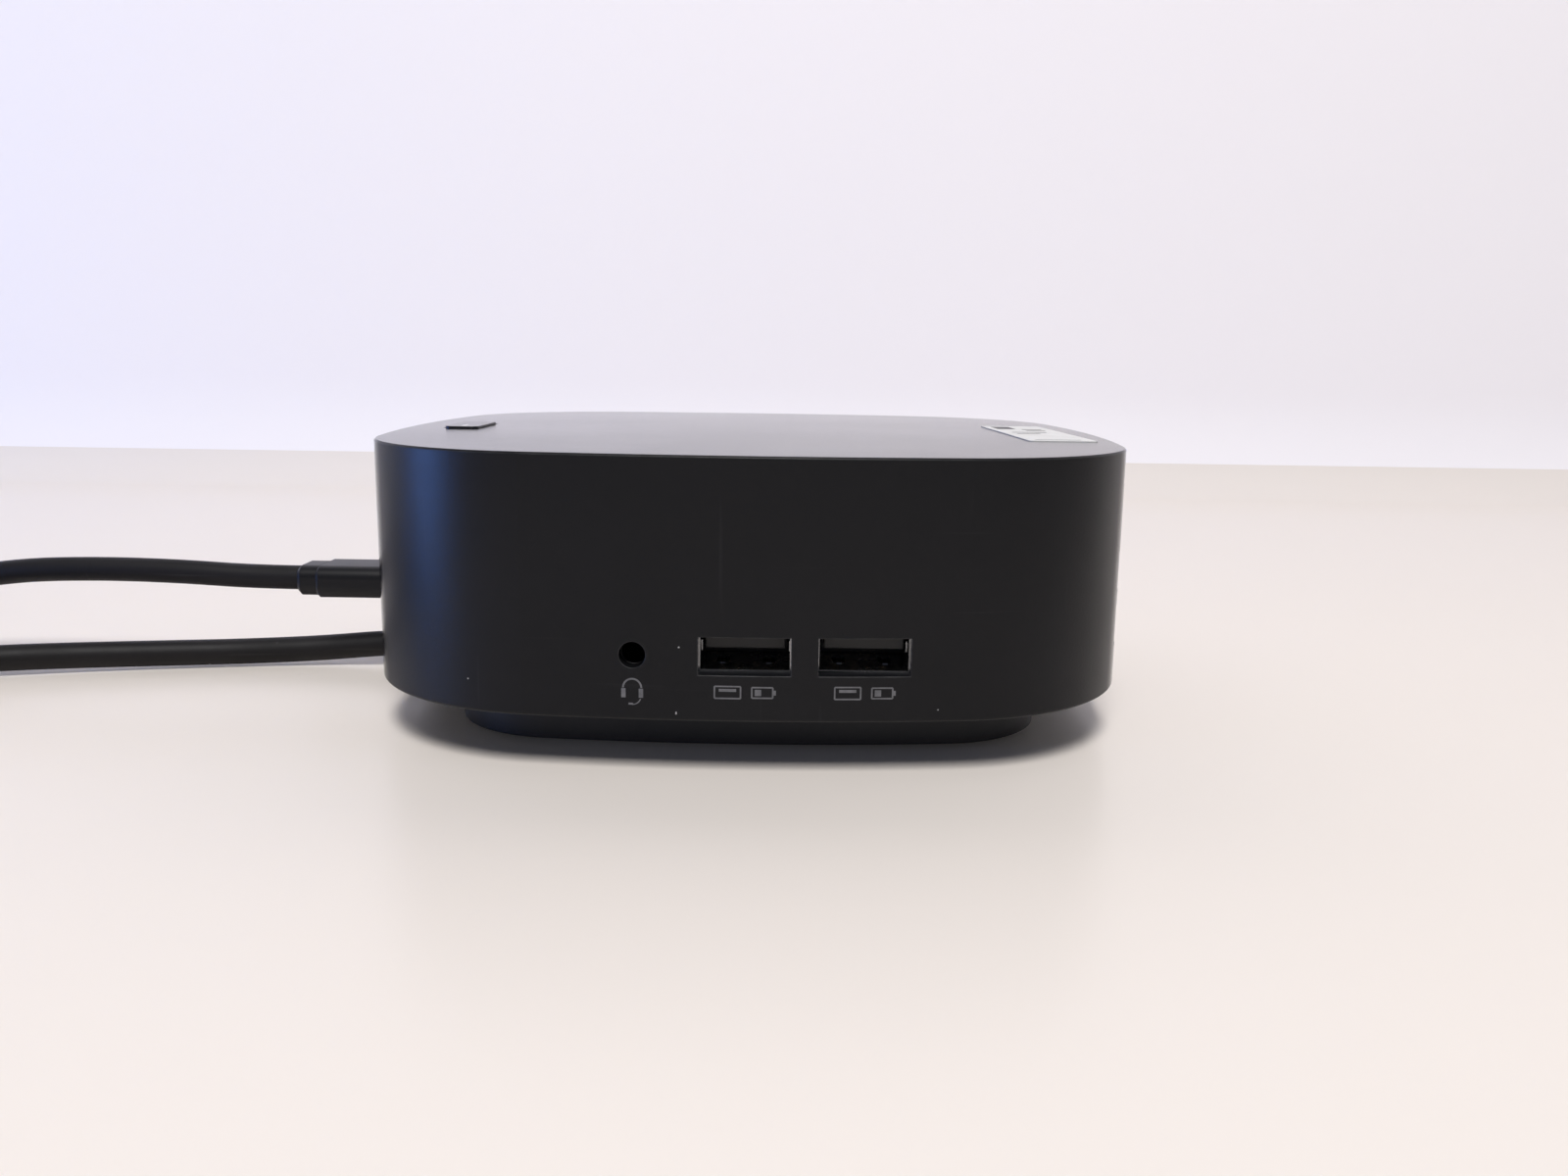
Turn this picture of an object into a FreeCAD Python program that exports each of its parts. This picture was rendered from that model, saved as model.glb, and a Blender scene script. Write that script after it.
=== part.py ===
"""A square desktop docking station with a captive host cable and a plugged-in device cable.

Millimetres, +Z up. The origin is on the table, under the middle of the housing. The front, with
the headset and data sockets, faces -Y, and the rear sockets are on the +X side.
"""
import FreeCAD
import Part
import math
import os

Vector = FreeCAD.Vector

# Housing
BODY_WIDTH = 120.4
BODY_HEIGHT = 44.9
SIDE_RADIUS = 248.0
CORNER_RADIUS = 31.6
BODY_LIFT = 8.1
WALL = 2.4
TOP_THICKNESS = 2.2
TOP_EDGE_CHAMFER = 0.25
BOTTOM_EDGE_RADIUS = 0.4
COVER_THICKNESS = 2.0
COVER_INSET = 0.3
COVER_CLEARANCE = 0.15

# Foot
FOOT_INSET = 12.55
FOOT_SIDE_RADIUS = 272.0
FOOT_CORNER_RADIUS = 17.8
FOOT_WALL = 2.2
FOOT_FLOOR = 1.7
PAD_THICKNESS = 1.0
PAD_MARGIN = 3.5
PAD_BAND = 12.0
WEIGHT_THICKNESS = 4.0
WEIGHT_CLEARANCE = 1.0

# Screws and the posts that take them
SCREW_RADIUS = 1.5
SCREW_HEAD_RADIUS = 2.8
SCREW_HEAD_HEIGHT = 1.6
SCREW_ENGAGEMENT = 8.0
SCREW_CLEARANCE = 0.05
POST_RADIUS = 3.6
POST_CLEARANCE = 0.6
LEFT_POST_INSET = (24.5, 24.5)
RIGHT_POST_INSET = (30.5, 21.5)
STANDOFF_HEIGHT = 2.3
STANDOFF_RADIUS = 3.0
SIDE_STANDOFF_INSET = 16.2
SIDE_STANDOFF_Y = 26.0
MIDDLE_STANDOFF_X = 0.0
MIDDLE_STANDOFF_INSET = 20.2
REAR_STANDOFF_INSET = 29.2
BOARD_SCREW_RADIUS = 1.25
BOARD_SCREW_HEAD_RADIUS = 2.3
BOARD_SCREW_HEAD_HEIGHT = 1.3

# Main board and what is soldered to its middle
BOARD_THICKNESS = 1.6
BOARD_CLEARANCE = 2.8
CHIP_HEIGHT = 1.2
CHIPS = ((-10.0, 0.0, 15.0), (10.0, 17.0, 10.0), (8.0, -18.0, 9.0))
CHIP_PAD_OVERHANG = 1.0
SHIELD_INSET = (27.2, 37.2)
SHIELD_POST_GAP = 4.4
SHIELD_HEIGHT = 3.0
SHIELD_SHEET = 0.3
THERMAL_PAD_MARGIN = (6.0, 7.0)
THERMAL_PAD_THICKNESS = 1.0
SINK_MARGIN = (1.0, 2.0)
SINK_BASE = 3.0
FIN_HEIGHT = 12.0
FIN_THICKNESS = 1.4
FIN_COUNT = 10
INDUCTOR_SIZE = 6.8
INDUCTOR_HEIGHT = 4.2
INDUCTOR_INSET = 29.2
INDUCTOR_POST_GAP = 5.0
INDUCTOR_PITCH = 9.0
CAPACITOR_RADIUS = 3.15
CAPACITOR_HEIGHT = 7.7
CAPACITOR_BANKS = (3, 2)
CAPACITOR_POST_GAPS = (8.0, 10.0)
CAPACITOR_PITCH = 7.5
CAPACITOR_INSET = 19.2

# Sockets
PORT_CLEARANCE = 0.3
PORT_SHEET = 0.3
PORT_RECESS = 0.4
USB_A_SIZE = (13.1, 5.7)
USB_A_DEPTH = 13.0
USB_A_CENTRE_RISE = 3.25
USB_A_TONGUE = (11.1, 1.8)
USB_A_TONGUE_SETBACK = 1.2
USB_A_TONGUE_RISE = 1.2
USB_A_CONTACT_PITCH = 2.3
USB_A_CONTACT = (1.0, 0.15)
USB_A_SPRING = (5.2, 1.5)
USB_A_SPRING_SHEET = 0.2
USB_A_SPRING_RISE = 0.45
INSULATOR_THICKNESS = 2.0
FRONT_PORTS_X = (0.2, 16.8)
FRONT_PORT_RECESS = 2.5
FRONT_LIP_GAP = 0.1
FRONT_LIP_SIDE_COVER = 0.15
FRONT_LIP_TOP_COVER = 0.35
OPENING_DEPTH = 8.0
STACK_PITCH = 8.5
REAR_USB_Y = 22.3
REAR_USB_DEPTH = 15.0
HDMI_Y = -11.1
HDMI_SIZE = (15.0, 6.0)
HDMI_DEPTH = 11.5
HDMI_TONGUE = (10.6, 1.2)
HDMI_CENTRE_RISE = 3.3
DP_Y = -28.5
DP_SIZE = (16.4, 5.7)
DP_DEPTH = 15.0
DP_TONGUE = (13.2, 1.2)
DP_CENTRE_RISE = 3.3
DP_CORNER_CUT = 1.9
DP_WEB_SETBACK = 5.6
NETWORK_Y = 6.1
NETWORK_SIZE = (16.0, 13.4)
NETWORK_DEPTH = 16.0
NETWORK_MOUTH = (11.8, 8.3)
NETWORK_MOUTH_DEPTH = 12.5
NETWORK_MOUTH_RISE = 7.2
NETWORK_LATCH = (6.2, 2.3)
NETWORK_CONTACT_PITCH = 1.02
NETWORK_CONTACT_WIRE = 0.4
NETWORK_CONTACT_DROP = 2.0
POWER_JACK_Y = 35.2
POWER_JACK_SIZE = (9.0, 11.0)
POWER_JACK_DEPTH = 13.5
POWER_JACK_RISE = 6.5
POWER_JACK_BORE = 3.2
POWER_JACK_PIN = 1.0
POWER_JACK_BORE_DEPTH = 10.0
HEADSET_X = -15.3
HEADSET_RISE = 3.05
HEADSET_BORE = 1.8
HEADSET_DEPTH = 14.0
HEADSET_BACK = 1.0
HEADSET_BODY_WIDTH = 6.4
HEADSET_WALL_HOLE = 1.85
HEADSET_SPRING = (1.6, 7.0, 0.3)
HEADSET_SPRING_SETBACK = 2.0
USB_C_Y = 0.0
USB_C_RISE = 2.3
USB_C_MOUTH = (8.34, 2.56)
USB_C_DEPTH = 8.6
USB_C_SHEET = 0.3
USB_C_TONGUE = (6.69, 0.7)
USB_C_TONGUE_SETBACK = 0.9
USB_C_RECESS = 1.3
BRACKET_SHEET = 0.4
BRACKET_MARGIN = 2.3
BRACKET_HEIGHT = 18.0
BRACKET_GAP = 0.1
LOCK_Y = -33.0
LOCK_SLOT = (7.0, 3.3)
LOCK_PLATE = (11.0, 6.6, 1.5)
LOCK_PLATE_GAP = 0.24

# Power button
BUTTON_INSET = 9.7
BUTTON_Y = -2.5
BUTTON_SIZE = (5.7, 15.2)
BUTTON_CORNER = 1.2
BUTTON_GAP = 0.35
BUTTON_PROUD = 0.35
BUTTON_FLANGE = 0.9
BUTTON_FLANGE_THICKNESS = 0.8
BUTTON_FLANGE_GAP = 0.3
BUTTON_TRAVEL = 0.5
BUTTON_STEM_RADIUS = 1.5
BUTTON_STEM_LENGTH = 2.4
LIGHT_GUIDE_SIZE = (0.9, 3.0)
LIGHT_GUIDE_CLEARANCE = 0.02
PLUNGER_RADIUS = 1.3
PLUNGER_CLEARANCE = 0.1
PLUNGER_SHOWING = 1.2
PLUNGER_SEATED = 0.8
SWITCH_SIZE = 6.2
SWITCH_HEIGHT = 3.5
BUTTON_BOARD_THICKNESS = 1.0
BUTTON_BOARD_REACH = (5.0, 8.3)
BUTTON_BOARD_HALF_LENGTH = 13.0
BUTTON_POST_RADIUS = 1.9
BUTTON_POST_INSET = 2.2
BUTTON_SCREW_RADIUS = 0.8
BUTTON_SCREW_HEAD_RADIUS = 1.7
BUTTON_SCREW_HEAD_HEIGHT = 0.9
BUTTON_SCREW_LENGTH = 4.0
FLEX_WIDTH = 5.0
FLEX_SHEET = 0.2
FLEX_CONNECTOR = (3.6, 7.0, 1.3)

# Paper label on the top
LABEL_SIZE = (11.4, 41.6)
LABEL_THICKNESS = 0.12
LABEL_INSET = 10.3
LABEL_Y = -0.8
LABEL_TURN = 2.6

# Cables
HOST_CORD_DIAMETER = 4.7
DEVICE_CORD_DIAMETER = 4.4
HOST_EXIT_Y = 1.7
HOST_EXIT_Z = 4.3
GLAND_NECK = (7.2, 5.6)
GLAND_FLANGE = (9.6, 6.8, 2.0)
GLAND_LENGTH = 10.35
GLAND_CLEARANCE = 0.05
GLAND_FLANGE_GAP = 0.15
INNER_LEAD_DIAMETER = 3.0
INNER_LEAD_INSET = 13.65
HEADER_SIZE = (9.0, 9.0)
HEADER_HEIGHT = 1.8
COIL_GAP = 0.5
FLOOR_GAP = 0.1
HOST_COIL_RADIUS = 24.5
HOST_COIL_TURNS = 2
HOST_COIL_START = (-160.0, -14.0)
DEVICE_COIL_RADIUS = 22.5
DEVICE_COIL_TURNS = 3
DEVICE_COIL_START = (-208.0, 8.0)

# USB-C plugs
PLUG_SHELL = (8.25, 2.4)
PLUG_SHELL_LENGTH = 6.65
PLUG_SHEET = 0.3
PLUG_GRIP = (11.6, 5.8)
PLUG_GRIP_LENGTH = 18.3
PLUG_GRIP_EDGE = 2.2
PLUG_COLLAR = (9.0, 5.5)
PLUG_COLLAR_LENGTH = 3.9
PLUG_COLLAR_EDGE = 2.2
PLUG_WALL_GAP = 0.15

# Worked out from the sizes above
HALF = BODY_WIDTH / 2
FOOT_HALF = HALF - FOOT_INSET
COVER_BOTTOM = BODY_LIFT + COVER_INSET
COVER_TOP = COVER_BOTTOM + COVER_THICKNESS
BOARD_BOTTOM = COVER_TOP + STANDOFF_HEIGHT
BOARD_TOP = BOARD_BOTTOM + BOARD_THICKNESS
CEILING = BODY_HEIGHT - TOP_THICKNESS
FOOT_INNER_FLOOR = PAD_THICKNESS + FOOT_FLOOR
LEFT_POST_X, LEFT_POST_Y = LEFT_POST_INSET[0] - HALF, HALF - LEFT_POST_INSET[1]
RIGHT_POST_X, RIGHT_POST_Y = HALF - RIGHT_POST_INSET[0], HALF - RIGHT_POST_INSET[1]
POSTS = tuple((x, sign * y) for x, y in ((LEFT_POST_X, LEFT_POST_Y), (RIGHT_POST_X, RIGHT_POST_Y))
              for sign in (-1, 1))
STANDOFFS = ((SIDE_STANDOFF_INSET - HALF, -SIDE_STANDOFF_Y), (SIDE_STANDOFF_INSET - HALF, SIDE_STANDOFF_Y),
             (MIDDLE_STANDOFF_X, MIDDLE_STANDOFF_INSET - HALF),
             (MIDDLE_STANDOFF_X, HALF - MIDDLE_STANDOFF_INSET), (HALF - REAR_STANDOFF_INSET, 0.0))
SHIELD_X = (SHIELD_INSET[0] - HALF, HALF - SHIELD_INSET[1])
SHIELD_LENGTH = 2 * (RIGHT_POST_Y - POST_RADIUS - SHIELD_POST_GAP)
SHIELD_CENTRE = (sum(SHIELD_X) / 2, 0.0)
SHIELD_SIZE = (SHIELD_X[1] - SHIELD_X[0], SHIELD_LENGTH)
THERMAL_PAD_SIZE = (SHIELD_SIZE[0] - 2 * THERMAL_PAD_MARGIN[0], SHIELD_SIZE[1] - 2 * THERMAL_PAD_MARGIN[1])
SINK_SIZE = (SHIELD_SIZE[0] - 2 * SINK_MARGIN[0], SHIELD_SIZE[1] - 2 * SINK_MARGIN[1])
HOST_PITCH = HOST_CORD_DIAMETER + COIL_GAP
DEVICE_PITCH = DEVICE_CORD_DIAMETER + COIL_GAP
HOST_FLOOR_Z = HOST_CORD_DIAMETER / 2 + FLOOR_GAP
DEVICE_FLOOR_Z = DEVICE_CORD_DIAMETER / 2 + FLOOR_GAP
PLUG_FLOOR_Z = PLUG_GRIP[1] / 2 + FLOOR_GAP
BUTTON_X = BUTTON_INSET - HALF
INNER_LEAD_X = INNER_LEAD_INSET - FOOT_HALF
GLAND_END_X = -FOOT_HALF - GLAND_LENGTH
DEVICE_PLUG_Z = BOARD_TOP + USB_C_RISE
DEVICE_EXIT_X = -HALF - PLUG_WALL_GAP - PLUG_GRIP_LENGTH - PLUG_COLLAR_LENGTH

# Routes of the free cords: each point was chosen by hand
HOST_ROUTE = (
    (GLAND_END_X, HOST_EXIT_Y, HOST_EXIT_Z),
    (GLAND_END_X - 9.0, HOST_EXIT_Y, HOST_EXIT_Z),
    (-79.8, 1.2, 3.1),
    (-93.8, -0.6, 2.65),
    (-108.8, -3.6, 2.75),
    (-123.8, -7.4, 3.0),
    (-136.8, -11.2, 3.1),
    (-147.3, HOST_COIL_START[1], HOST_FLOOR_Z),
    (HOST_COIL_START[0] + HOST_CORD_DIAMETER, HOST_COIL_START[1], HOST_FLOOR_Z),
)
HOST_TAIL_ROUTE = (
    (HOST_COIL_START[0] - HOST_CORD_DIAMETER, HOST_COIL_START[1], HOST_FLOOR_Z + HOST_PITCH),
    (-172.0, HOST_COIL_START[1], HOST_FLOOR_Z + HOST_PITCH),
    (-181.0, -14.4, 5.3),
    (-190.0, -14.9, PLUG_FLOOR_Z),
    (-198.0, -14.9, PLUG_FLOOR_Z),
)
DEVICE_ROUTE = (
    (DEVICE_EXIT_X, USB_C_Y, DEVICE_PLUG_Z),
    (DEVICE_EXIT_X - 9.0, USB_C_Y, DEVICE_PLUG_Z),
    (-105.8, 0.2, 17.4),
    (-120.8, 0.7, 17.6),
    (-136.8, 1.4, 16.9),
    (-151.8, 2.4, 14.0),
    (-165.8, 3.9, 9.0),
    (-179.8, 5.9, 4.4),
    (-191.8, DEVICE_COIL_START[1], DEVICE_FLOOR_Z),
    (DEVICE_COIL_START[0] + DEVICE_CORD_DIAMETER, DEVICE_COIL_START[1], DEVICE_FLOOR_Z),
)
DEVICE_TAIL_ROUTE = (
    (DEVICE_COIL_START[0] - DEVICE_CORD_DIAMETER, DEVICE_COIL_START[1],
     DEVICE_FLOOR_Z + DEVICE_PITCH),
    (-220.0, DEVICE_COIL_START[1], DEVICE_FLOOR_Z + DEVICE_PITCH),
    (-229.0, 7.6, 5.1),
    (-238.0, 7.1, PLUG_FLOOR_Z),
    (-246.0, 7.1, PLUG_FLOOR_Z),
)


# Plain shapes

def box(x_range, y_range, z_range):
    """A block between two values on each axis."""
    size = [high - low for low, high in (x_range, y_range, z_range)]
    return Part.makeBox(*size, Vector(x_range[0], y_range[0], z_range[0]))


def block(centre_x, centre_y, size_x, size_y, z_range):
    """A block about a centre line."""
    return box((centre_x - size_x / 2, centre_x + size_x / 2),
               (centre_y - size_y / 2, centre_y + size_y / 2), z_range)


def rod(x, y, radius, z_range):
    """An upright cylinder."""
    return Part.makeCylinder(radius, z_range[1] - z_range[0], Vector(x, y, z_range[0]))


def group(solids):
    """Separate solids of one node."""
    return Part.makeCompound(list(solids))


def joined(solids):
    """One solid made of touching or crossing ones."""
    first, *rest = solids
    return first.fuse(rest).removeSplitter() if rest else first


def rounded_block(x, y, size_x, size_y, corner, z_range):
    """An upright block with rounded corners in plan."""
    body = block(x, y, size_x, size_y, z_range)
    upright = [e for e in body.Edges if abs(e.tangentAt(e.FirstParameter).z) > 0.9]
    return body.makeFillet(corner, upright)


def bar(x_range, width, height, corner):
    """A bar along X about the X axis, rounded along its length."""
    body = box(x_range, (-width / 2, width / 2), (-height / 2, height / 2))
    long_edges = [e for e in body.Edges if abs(e.tangentAt(e.FirstParameter).x) > 0.9]
    return body.makeFillet(min(corner, 0.499 * min(width, height)), long_edges)


# Outline of the housing and the foot: bulged sides and round corners

def corner_centre(half, side, corner):
    """How far a corner arc's centre lies from both middle lines."""
    side_offset = side - half
    reach = side - corner
    return (math.sqrt(2 * reach ** 2 - side_offset ** 2) - side_offset) / 2


def outline_face(half, side, corner, z):
    """The flat plan of a square with bulged sides and round corners."""
    centre = corner_centre(half, side, corner)
    swing = math.atan2(centre, centre + side - half)

    def on_arc(turn, cx, cy, radius, angle):
        x = cx + radius * math.cos(angle)
        y = cy + radius * math.sin(angle)
        return Vector(x * math.cos(turn) - y * math.sin(turn),
                      x * math.sin(turn) + y * math.cos(turn), z)

    edges = []
    for quarter in range(4):
        turn = quarter * math.pi / 2
        arcs = ((half - side, 0.0, side, (-swing, 0.0, swing)),
                (centre, centre, corner, (swing, math.pi / 4, math.pi / 2 - swing)))
        for cx, cy, radius, angles in arcs:
            points = [on_arc(turn, cx, cy, radius, angle) for angle in angles]
            edges.append(Part.Arc(*points).toShape())
    return Part.Face(Part.Wire(edges))


def body_plan(inset, z_range):
    """The housing's plan, drawn in by an inset, between two heights."""
    face = outline_face(HALF - inset, SIDE_RADIUS - inset, CORNER_RADIUS - inset, z_range[0])
    return face.extrude(Vector(0, 0, z_range[1] - z_range[0]))


def foot_plan(inset, z_range):
    """The foot's plan, drawn in by an inset, between two heights."""
    corner = max(FOOT_CORNER_RADIUS - inset, 2.0)
    face = outline_face(FOOT_HALF - inset, FOOT_SIDE_RADIUS - inset, corner, z_range[0])
    return face.extrude(Vector(0, 0, z_range[1] - z_range[0]))


def wall_reach(lateral):
    """How far the housing's outer face stands from the middle, beside its middle line."""
    centre = corner_centre(HALF, SIDE_RADIUS, CORNER_RADIUS)
    swing = math.atan2(centre, centre + SIDE_RADIUS - HALF)
    lateral = abs(lateral)
    if lateral <= SIDE_RADIUS * math.sin(swing):
        return HALF - SIDE_RADIUS + math.sqrt(SIDE_RADIUS ** 2 - lateral ** 2)
    return centre + math.sqrt(CORNER_RADIUS ** 2 - (lateral - centre) ** 2)


def inner_reach(lateral):
    """How far the housing's inner face stands from the middle, beside its middle line."""
    centre = corner_centre(HALF, SIDE_RADIUS, CORNER_RADIUS)
    swing = math.atan2(centre, centre + SIDE_RADIUS - HALF)
    lateral = abs(lateral)
    if lateral <= (SIDE_RADIUS - WALL) * math.sin(swing):
        return HALF - SIDE_RADIUS + math.sqrt((SIDE_RADIUS - WALL) ** 2 - lateral ** 2)
    return centre + math.sqrt((CORNER_RADIUS - WALL) ** 2 - (lateral - centre) ** 2)


# Sockets are drawn facing +X with their mouth at the origin, then put in their wall

def face_front(shape, x, y, z):
    """Turn a socket to face -Y."""
    shape.rotate(Vector(0, 0, 0), Vector(0, 0, 1), -90)
    return shape.translated(Vector(x, y, z))


def face_left(shape, x, y, z):
    """Turn a socket to face -X."""
    shape.rotate(Vector(0, 0, 0), Vector(0, 0, 1), 180)
    return shape.translated(Vector(x, y, z))


def rear_mouth(y, width):
    """The X of a rear socket's mouth: just inside the wall at the socket's outer edge."""
    return wall_reach(abs(y) + width / 2) - PORT_RECESS


def front_mouth(x):
    """The Y of a front socket's mouth, behind the wall's lip."""
    return FRONT_PORT_RECESS - wall_reach(x)


REAR_USB_X = rear_mouth(REAR_USB_Y, USB_A_SIZE[0])
HDMI_X = rear_mouth(HDMI_Y, HDMI_SIZE[0])
DP_X = rear_mouth(DP_Y, DP_SIZE[0])
NETWORK_X = rear_mouth(NETWORK_Y, NETWORK_SIZE[0])
POWER_JACK_X = rear_mouth(POWER_JACK_Y, POWER_JACK_SIZE[0])
USB_C_X = USB_C_RECESS - HALF
USB_A_Z = BOARD_TOP + USB_A_CENTRE_RISE
HDMI_Z = BOARD_TOP + HDMI_CENTRE_RISE
DP_Z = BOARD_TOP + DP_CENTRE_RISE
HEADSET_Z = BOARD_TOP + HEADSET_RISE
POWER_JACK_Z = BOARD_TOP + POWER_JACK_RISE
NETWORK_MOUTH_Z = BOARD_TOP + NETWORK_MOUTH_RISE
LOCK_Z = CEILING - LOCK_SLOT[1] / 2


def socket_legs(width, depth, drop_to, bottom):
    """Four solder legs from a shell's underside to the board."""
    solids = []
    for x in (-depth + 1.0, -depth / 2):
        for y in (-width / 2 + PORT_SHEET / 2, width / 2 - PORT_SHEET / 2):
            solids.append(block(x, y, 1.6, PORT_SHEET, (drop_to, bottom)))
    return solids


def tube_block(width, height, depth, sheet):
    """A folded metal shell, open at its mouth."""
    outer = box((-depth, 0), (-width / 2, width / 2), (-height / 2, height / 2))
    inner = box((-depth + sheet, 1), (-width / 2 + sheet, width / 2 - sheet),
                (-height / 2 + sheet, height / 2 - sheet))
    return outer.cut(inner)


def spring_profile(depth, seat):
    """A leaf spring in profile: rooted behind its window, bowed into the socket towards the mouth."""
    length = USB_A_SPRING[0]
    root = -depth / 2 - depth / 6 - 0.4
    inner = seat - PORT_SHEET
    tip = root + length
    points = ((root, seat), (root, inner), (root + 0.6, inner), (tip - 1.2, inner - USB_A_SPRING_RISE),
              (tip, inner - USB_A_SPRING_SHEET / 2), (tip, inner + USB_A_SPRING_SHEET / 2),
              (tip - 1.2, inner - USB_A_SPRING_RISE + USB_A_SPRING_SHEET),
              (root + 0.6, inner + USB_A_SPRING_SHEET), (root + 0.4, seat), (root, seat))
    return points


def usb_a_springs(width, height, depth):
    """A leaf spring in each side wall and two in the floor of a type A shell."""
    solids = []
    half_leaf = USB_A_SPRING[1] / 2
    for side in (-1, 1):
        upright = Part.Face(Part.makePolygon([Vector(x, side * y, -half_leaf)
                                              for x, y in spring_profile(depth, width / 2)]))
        solids.append(upright.extrude(Vector(0, 0, 2 * half_leaf)))
        y = side * width / 4
        flat = Part.Face(Part.makePolygon([Vector(x, y - half_leaf / 2, -z)
                                           for x, z in spring_profile(depth, height / 2)]))
        solids.append(flat.extrude(Vector(0, half_leaf, 0)))
    return solids


def usb_a_shell(depth, rise):
    """One type A shell with spring windows and legs down to the board."""
    width, height = USB_A_SIZE
    shell = tube_block(width, height, depth, PORT_SHEET)
    for side in (-1, 1):
        window = block(-depth / 2, side * width / 4, depth / 3, 1.8, (-height, height))
        shell = shell.cut(window)
        slot = block(-depth / 2, side * width / 2, depth / 3, 1.8, (-USB_A_SPRING[1] / 2 - 0.2,
                                                                  USB_A_SPRING[1] / 2 + 0.2))
        shell = shell.cut(slot)
    springs = usb_a_springs(width, height, depth)
    return joined([shell] + springs + socket_legs(width, depth, -rise, -height / 2))


def usb_a_insulator(depth):
    """The plastic tongue and the block that holds it at the back of the shell."""
    width = USB_A_SIZE[0] - 2 * PORT_SHEET
    height = USB_A_SIZE[1] - 2 * PORT_SHEET
    back = -depth + PORT_SHEET
    base = box((back, back + INSULATOR_THICKNESS), (-width / 2, width / 2), (-height / 2, height / 2))
    tongue = box((back, -USB_A_TONGUE_SETBACK), (-USB_A_TONGUE[0] / 2, USB_A_TONGUE[0] / 2),
                 (USB_A_TONGUE_RISE - USB_A_TONGUE[1] / 2, USB_A_TONGUE_RISE + USB_A_TONGUE[1] / 2))
    return joined([base, tongue])


def usb_a_contacts(depth):
    """Four flat contacts under the tongue."""
    top = USB_A_TONGUE_RISE - USB_A_TONGUE[1] / 2
    back = -depth + PORT_SHEET + INSULATOR_THICKNESS
    solids = []
    for index in range(4):
        y = (index - 1.5) * USB_A_CONTACT_PITCH
        solids.append(box((back, -USB_A_TONGUE_SETBACK - 0.8),
                          (y - USB_A_CONTACT[0] / 2, y + USB_A_CONTACT[0] / 2),
                          (top - USB_A_CONTACT[1], top)))
    return solids


def front_usb_a_shells():
    return group(face_front(usb_a_shell(USB_A_DEPTH, USB_A_CENTRE_RISE), x, front_mouth(x), USB_A_Z)
                 for x in FRONT_PORTS_X)


def front_usb_a_tongues():
    return group(face_front(usb_a_insulator(USB_A_DEPTH), x, front_mouth(x), USB_A_Z)
                 for x in FRONT_PORTS_X)


def front_usb_a_contacts():
    return group(face_front(contact, x, front_mouth(x), USB_A_Z)
                 for x in FRONT_PORTS_X for contact in usb_a_contacts(USB_A_DEPTH))


def stack_outer(width, height, depth, rise):
    """The metal block of two sockets one above the other, standing on its legs."""
    outer = box((-depth, 0), (-width / 2, width / 2), (-height / 2, STACK_PITCH + height / 2))
    return joined([outer] + socket_legs(width, depth, -rise, -height / 2))


def rear_usb_a_shell():
    """Two type A mouths in one stacked shell."""
    width, height = USB_A_SIZE
    shell = stack_outer(width, height, REAR_USB_DEPTH, USB_A_CENTRE_RISE)
    for level in (0, STACK_PITCH):
        mouth = box((-REAR_USB_DEPTH + PORT_SHEET, 1),
                    (-width / 2 + PORT_SHEET, width / 2 - PORT_SHEET),
                    (level - height / 2 + PORT_SHEET, level + height / 2 - PORT_SHEET))
        shell = shell.cut(mouth)
    return shell.translated(Vector(REAR_USB_X, REAR_USB_Y, USB_A_Z))


def rear_usb_a_tongues():
    return group(usb_a_insulator(REAR_USB_DEPTH).translated(
        Vector(REAR_USB_X, REAR_USB_Y, USB_A_Z + level)) for level in (0, STACK_PITCH))


def hdmi_profile(width, height, x_range):
    """A bar whose lower corners are cut off."""
    half, top, cut = width / 2, height / 2, height / 3
    points = ((-half, top), (half, top), (half, -top + cut), (half - cut, -top),
              (-half + cut, -top), (-half, -top + cut), (-half, top))
    wire = Part.makePolygon([Vector(x_range[0], y, z) for y, z in points])
    return Part.Face(wire).extrude(Vector(x_range[1] - x_range[0], 0, 0))


def hdmi_shell():
    width, height = HDMI_SIZE
    outer = box((-HDMI_DEPTH, 0), (-width / 2, width / 2), (-height / 2, height / 2))
    mouth = hdmi_profile(width - 2 * PORT_SHEET, height - 2 * PORT_SHEET, (-HDMI_DEPTH + PORT_SHEET, 1))
    shell = outer.cut(mouth)
    shell = joined([shell] + socket_legs(width, HDMI_DEPTH, -HDMI_CENTRE_RISE, -height / 2))
    return shell.translated(Vector(HDMI_X, HDMI_Y, HDMI_Z))


def hdmi_tongue():
    width = HDMI_SIZE[0] - 2 * PORT_SHEET
    height = HDMI_SIZE[1] - 2 * PORT_SHEET
    back = -HDMI_DEPTH + PORT_SHEET
    base = hdmi_profile(width, height, (back, back + INSULATOR_THICKNESS))
    tongue = box((back, -1.5), (-HDMI_TONGUE[0] / 2, HDMI_TONGUE[0] / 2),
                 (-HDMI_TONGUE[1] / 2, HDMI_TONGUE[1] / 2))
    return joined([base, tongue]).translated(Vector(HDMI_X, HDMI_Y, HDMI_Z))


def dp_profile(width, height, x_range, level):
    """A bar with one lower corner cut off."""
    half, top = width / 2, height / 2
    points = ((-half, top), (half, top), (half, -top), (-half + DP_CORNER_CUT, -top),
              (-half, -top + DP_CORNER_CUT), (-half, top))
    wire = Part.makePolygon([Vector(x_range[0], y, z + level) for y, z in points])
    return Part.Face(wire).extrude(Vector(x_range[1] - x_range[0], 0, 0))


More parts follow.
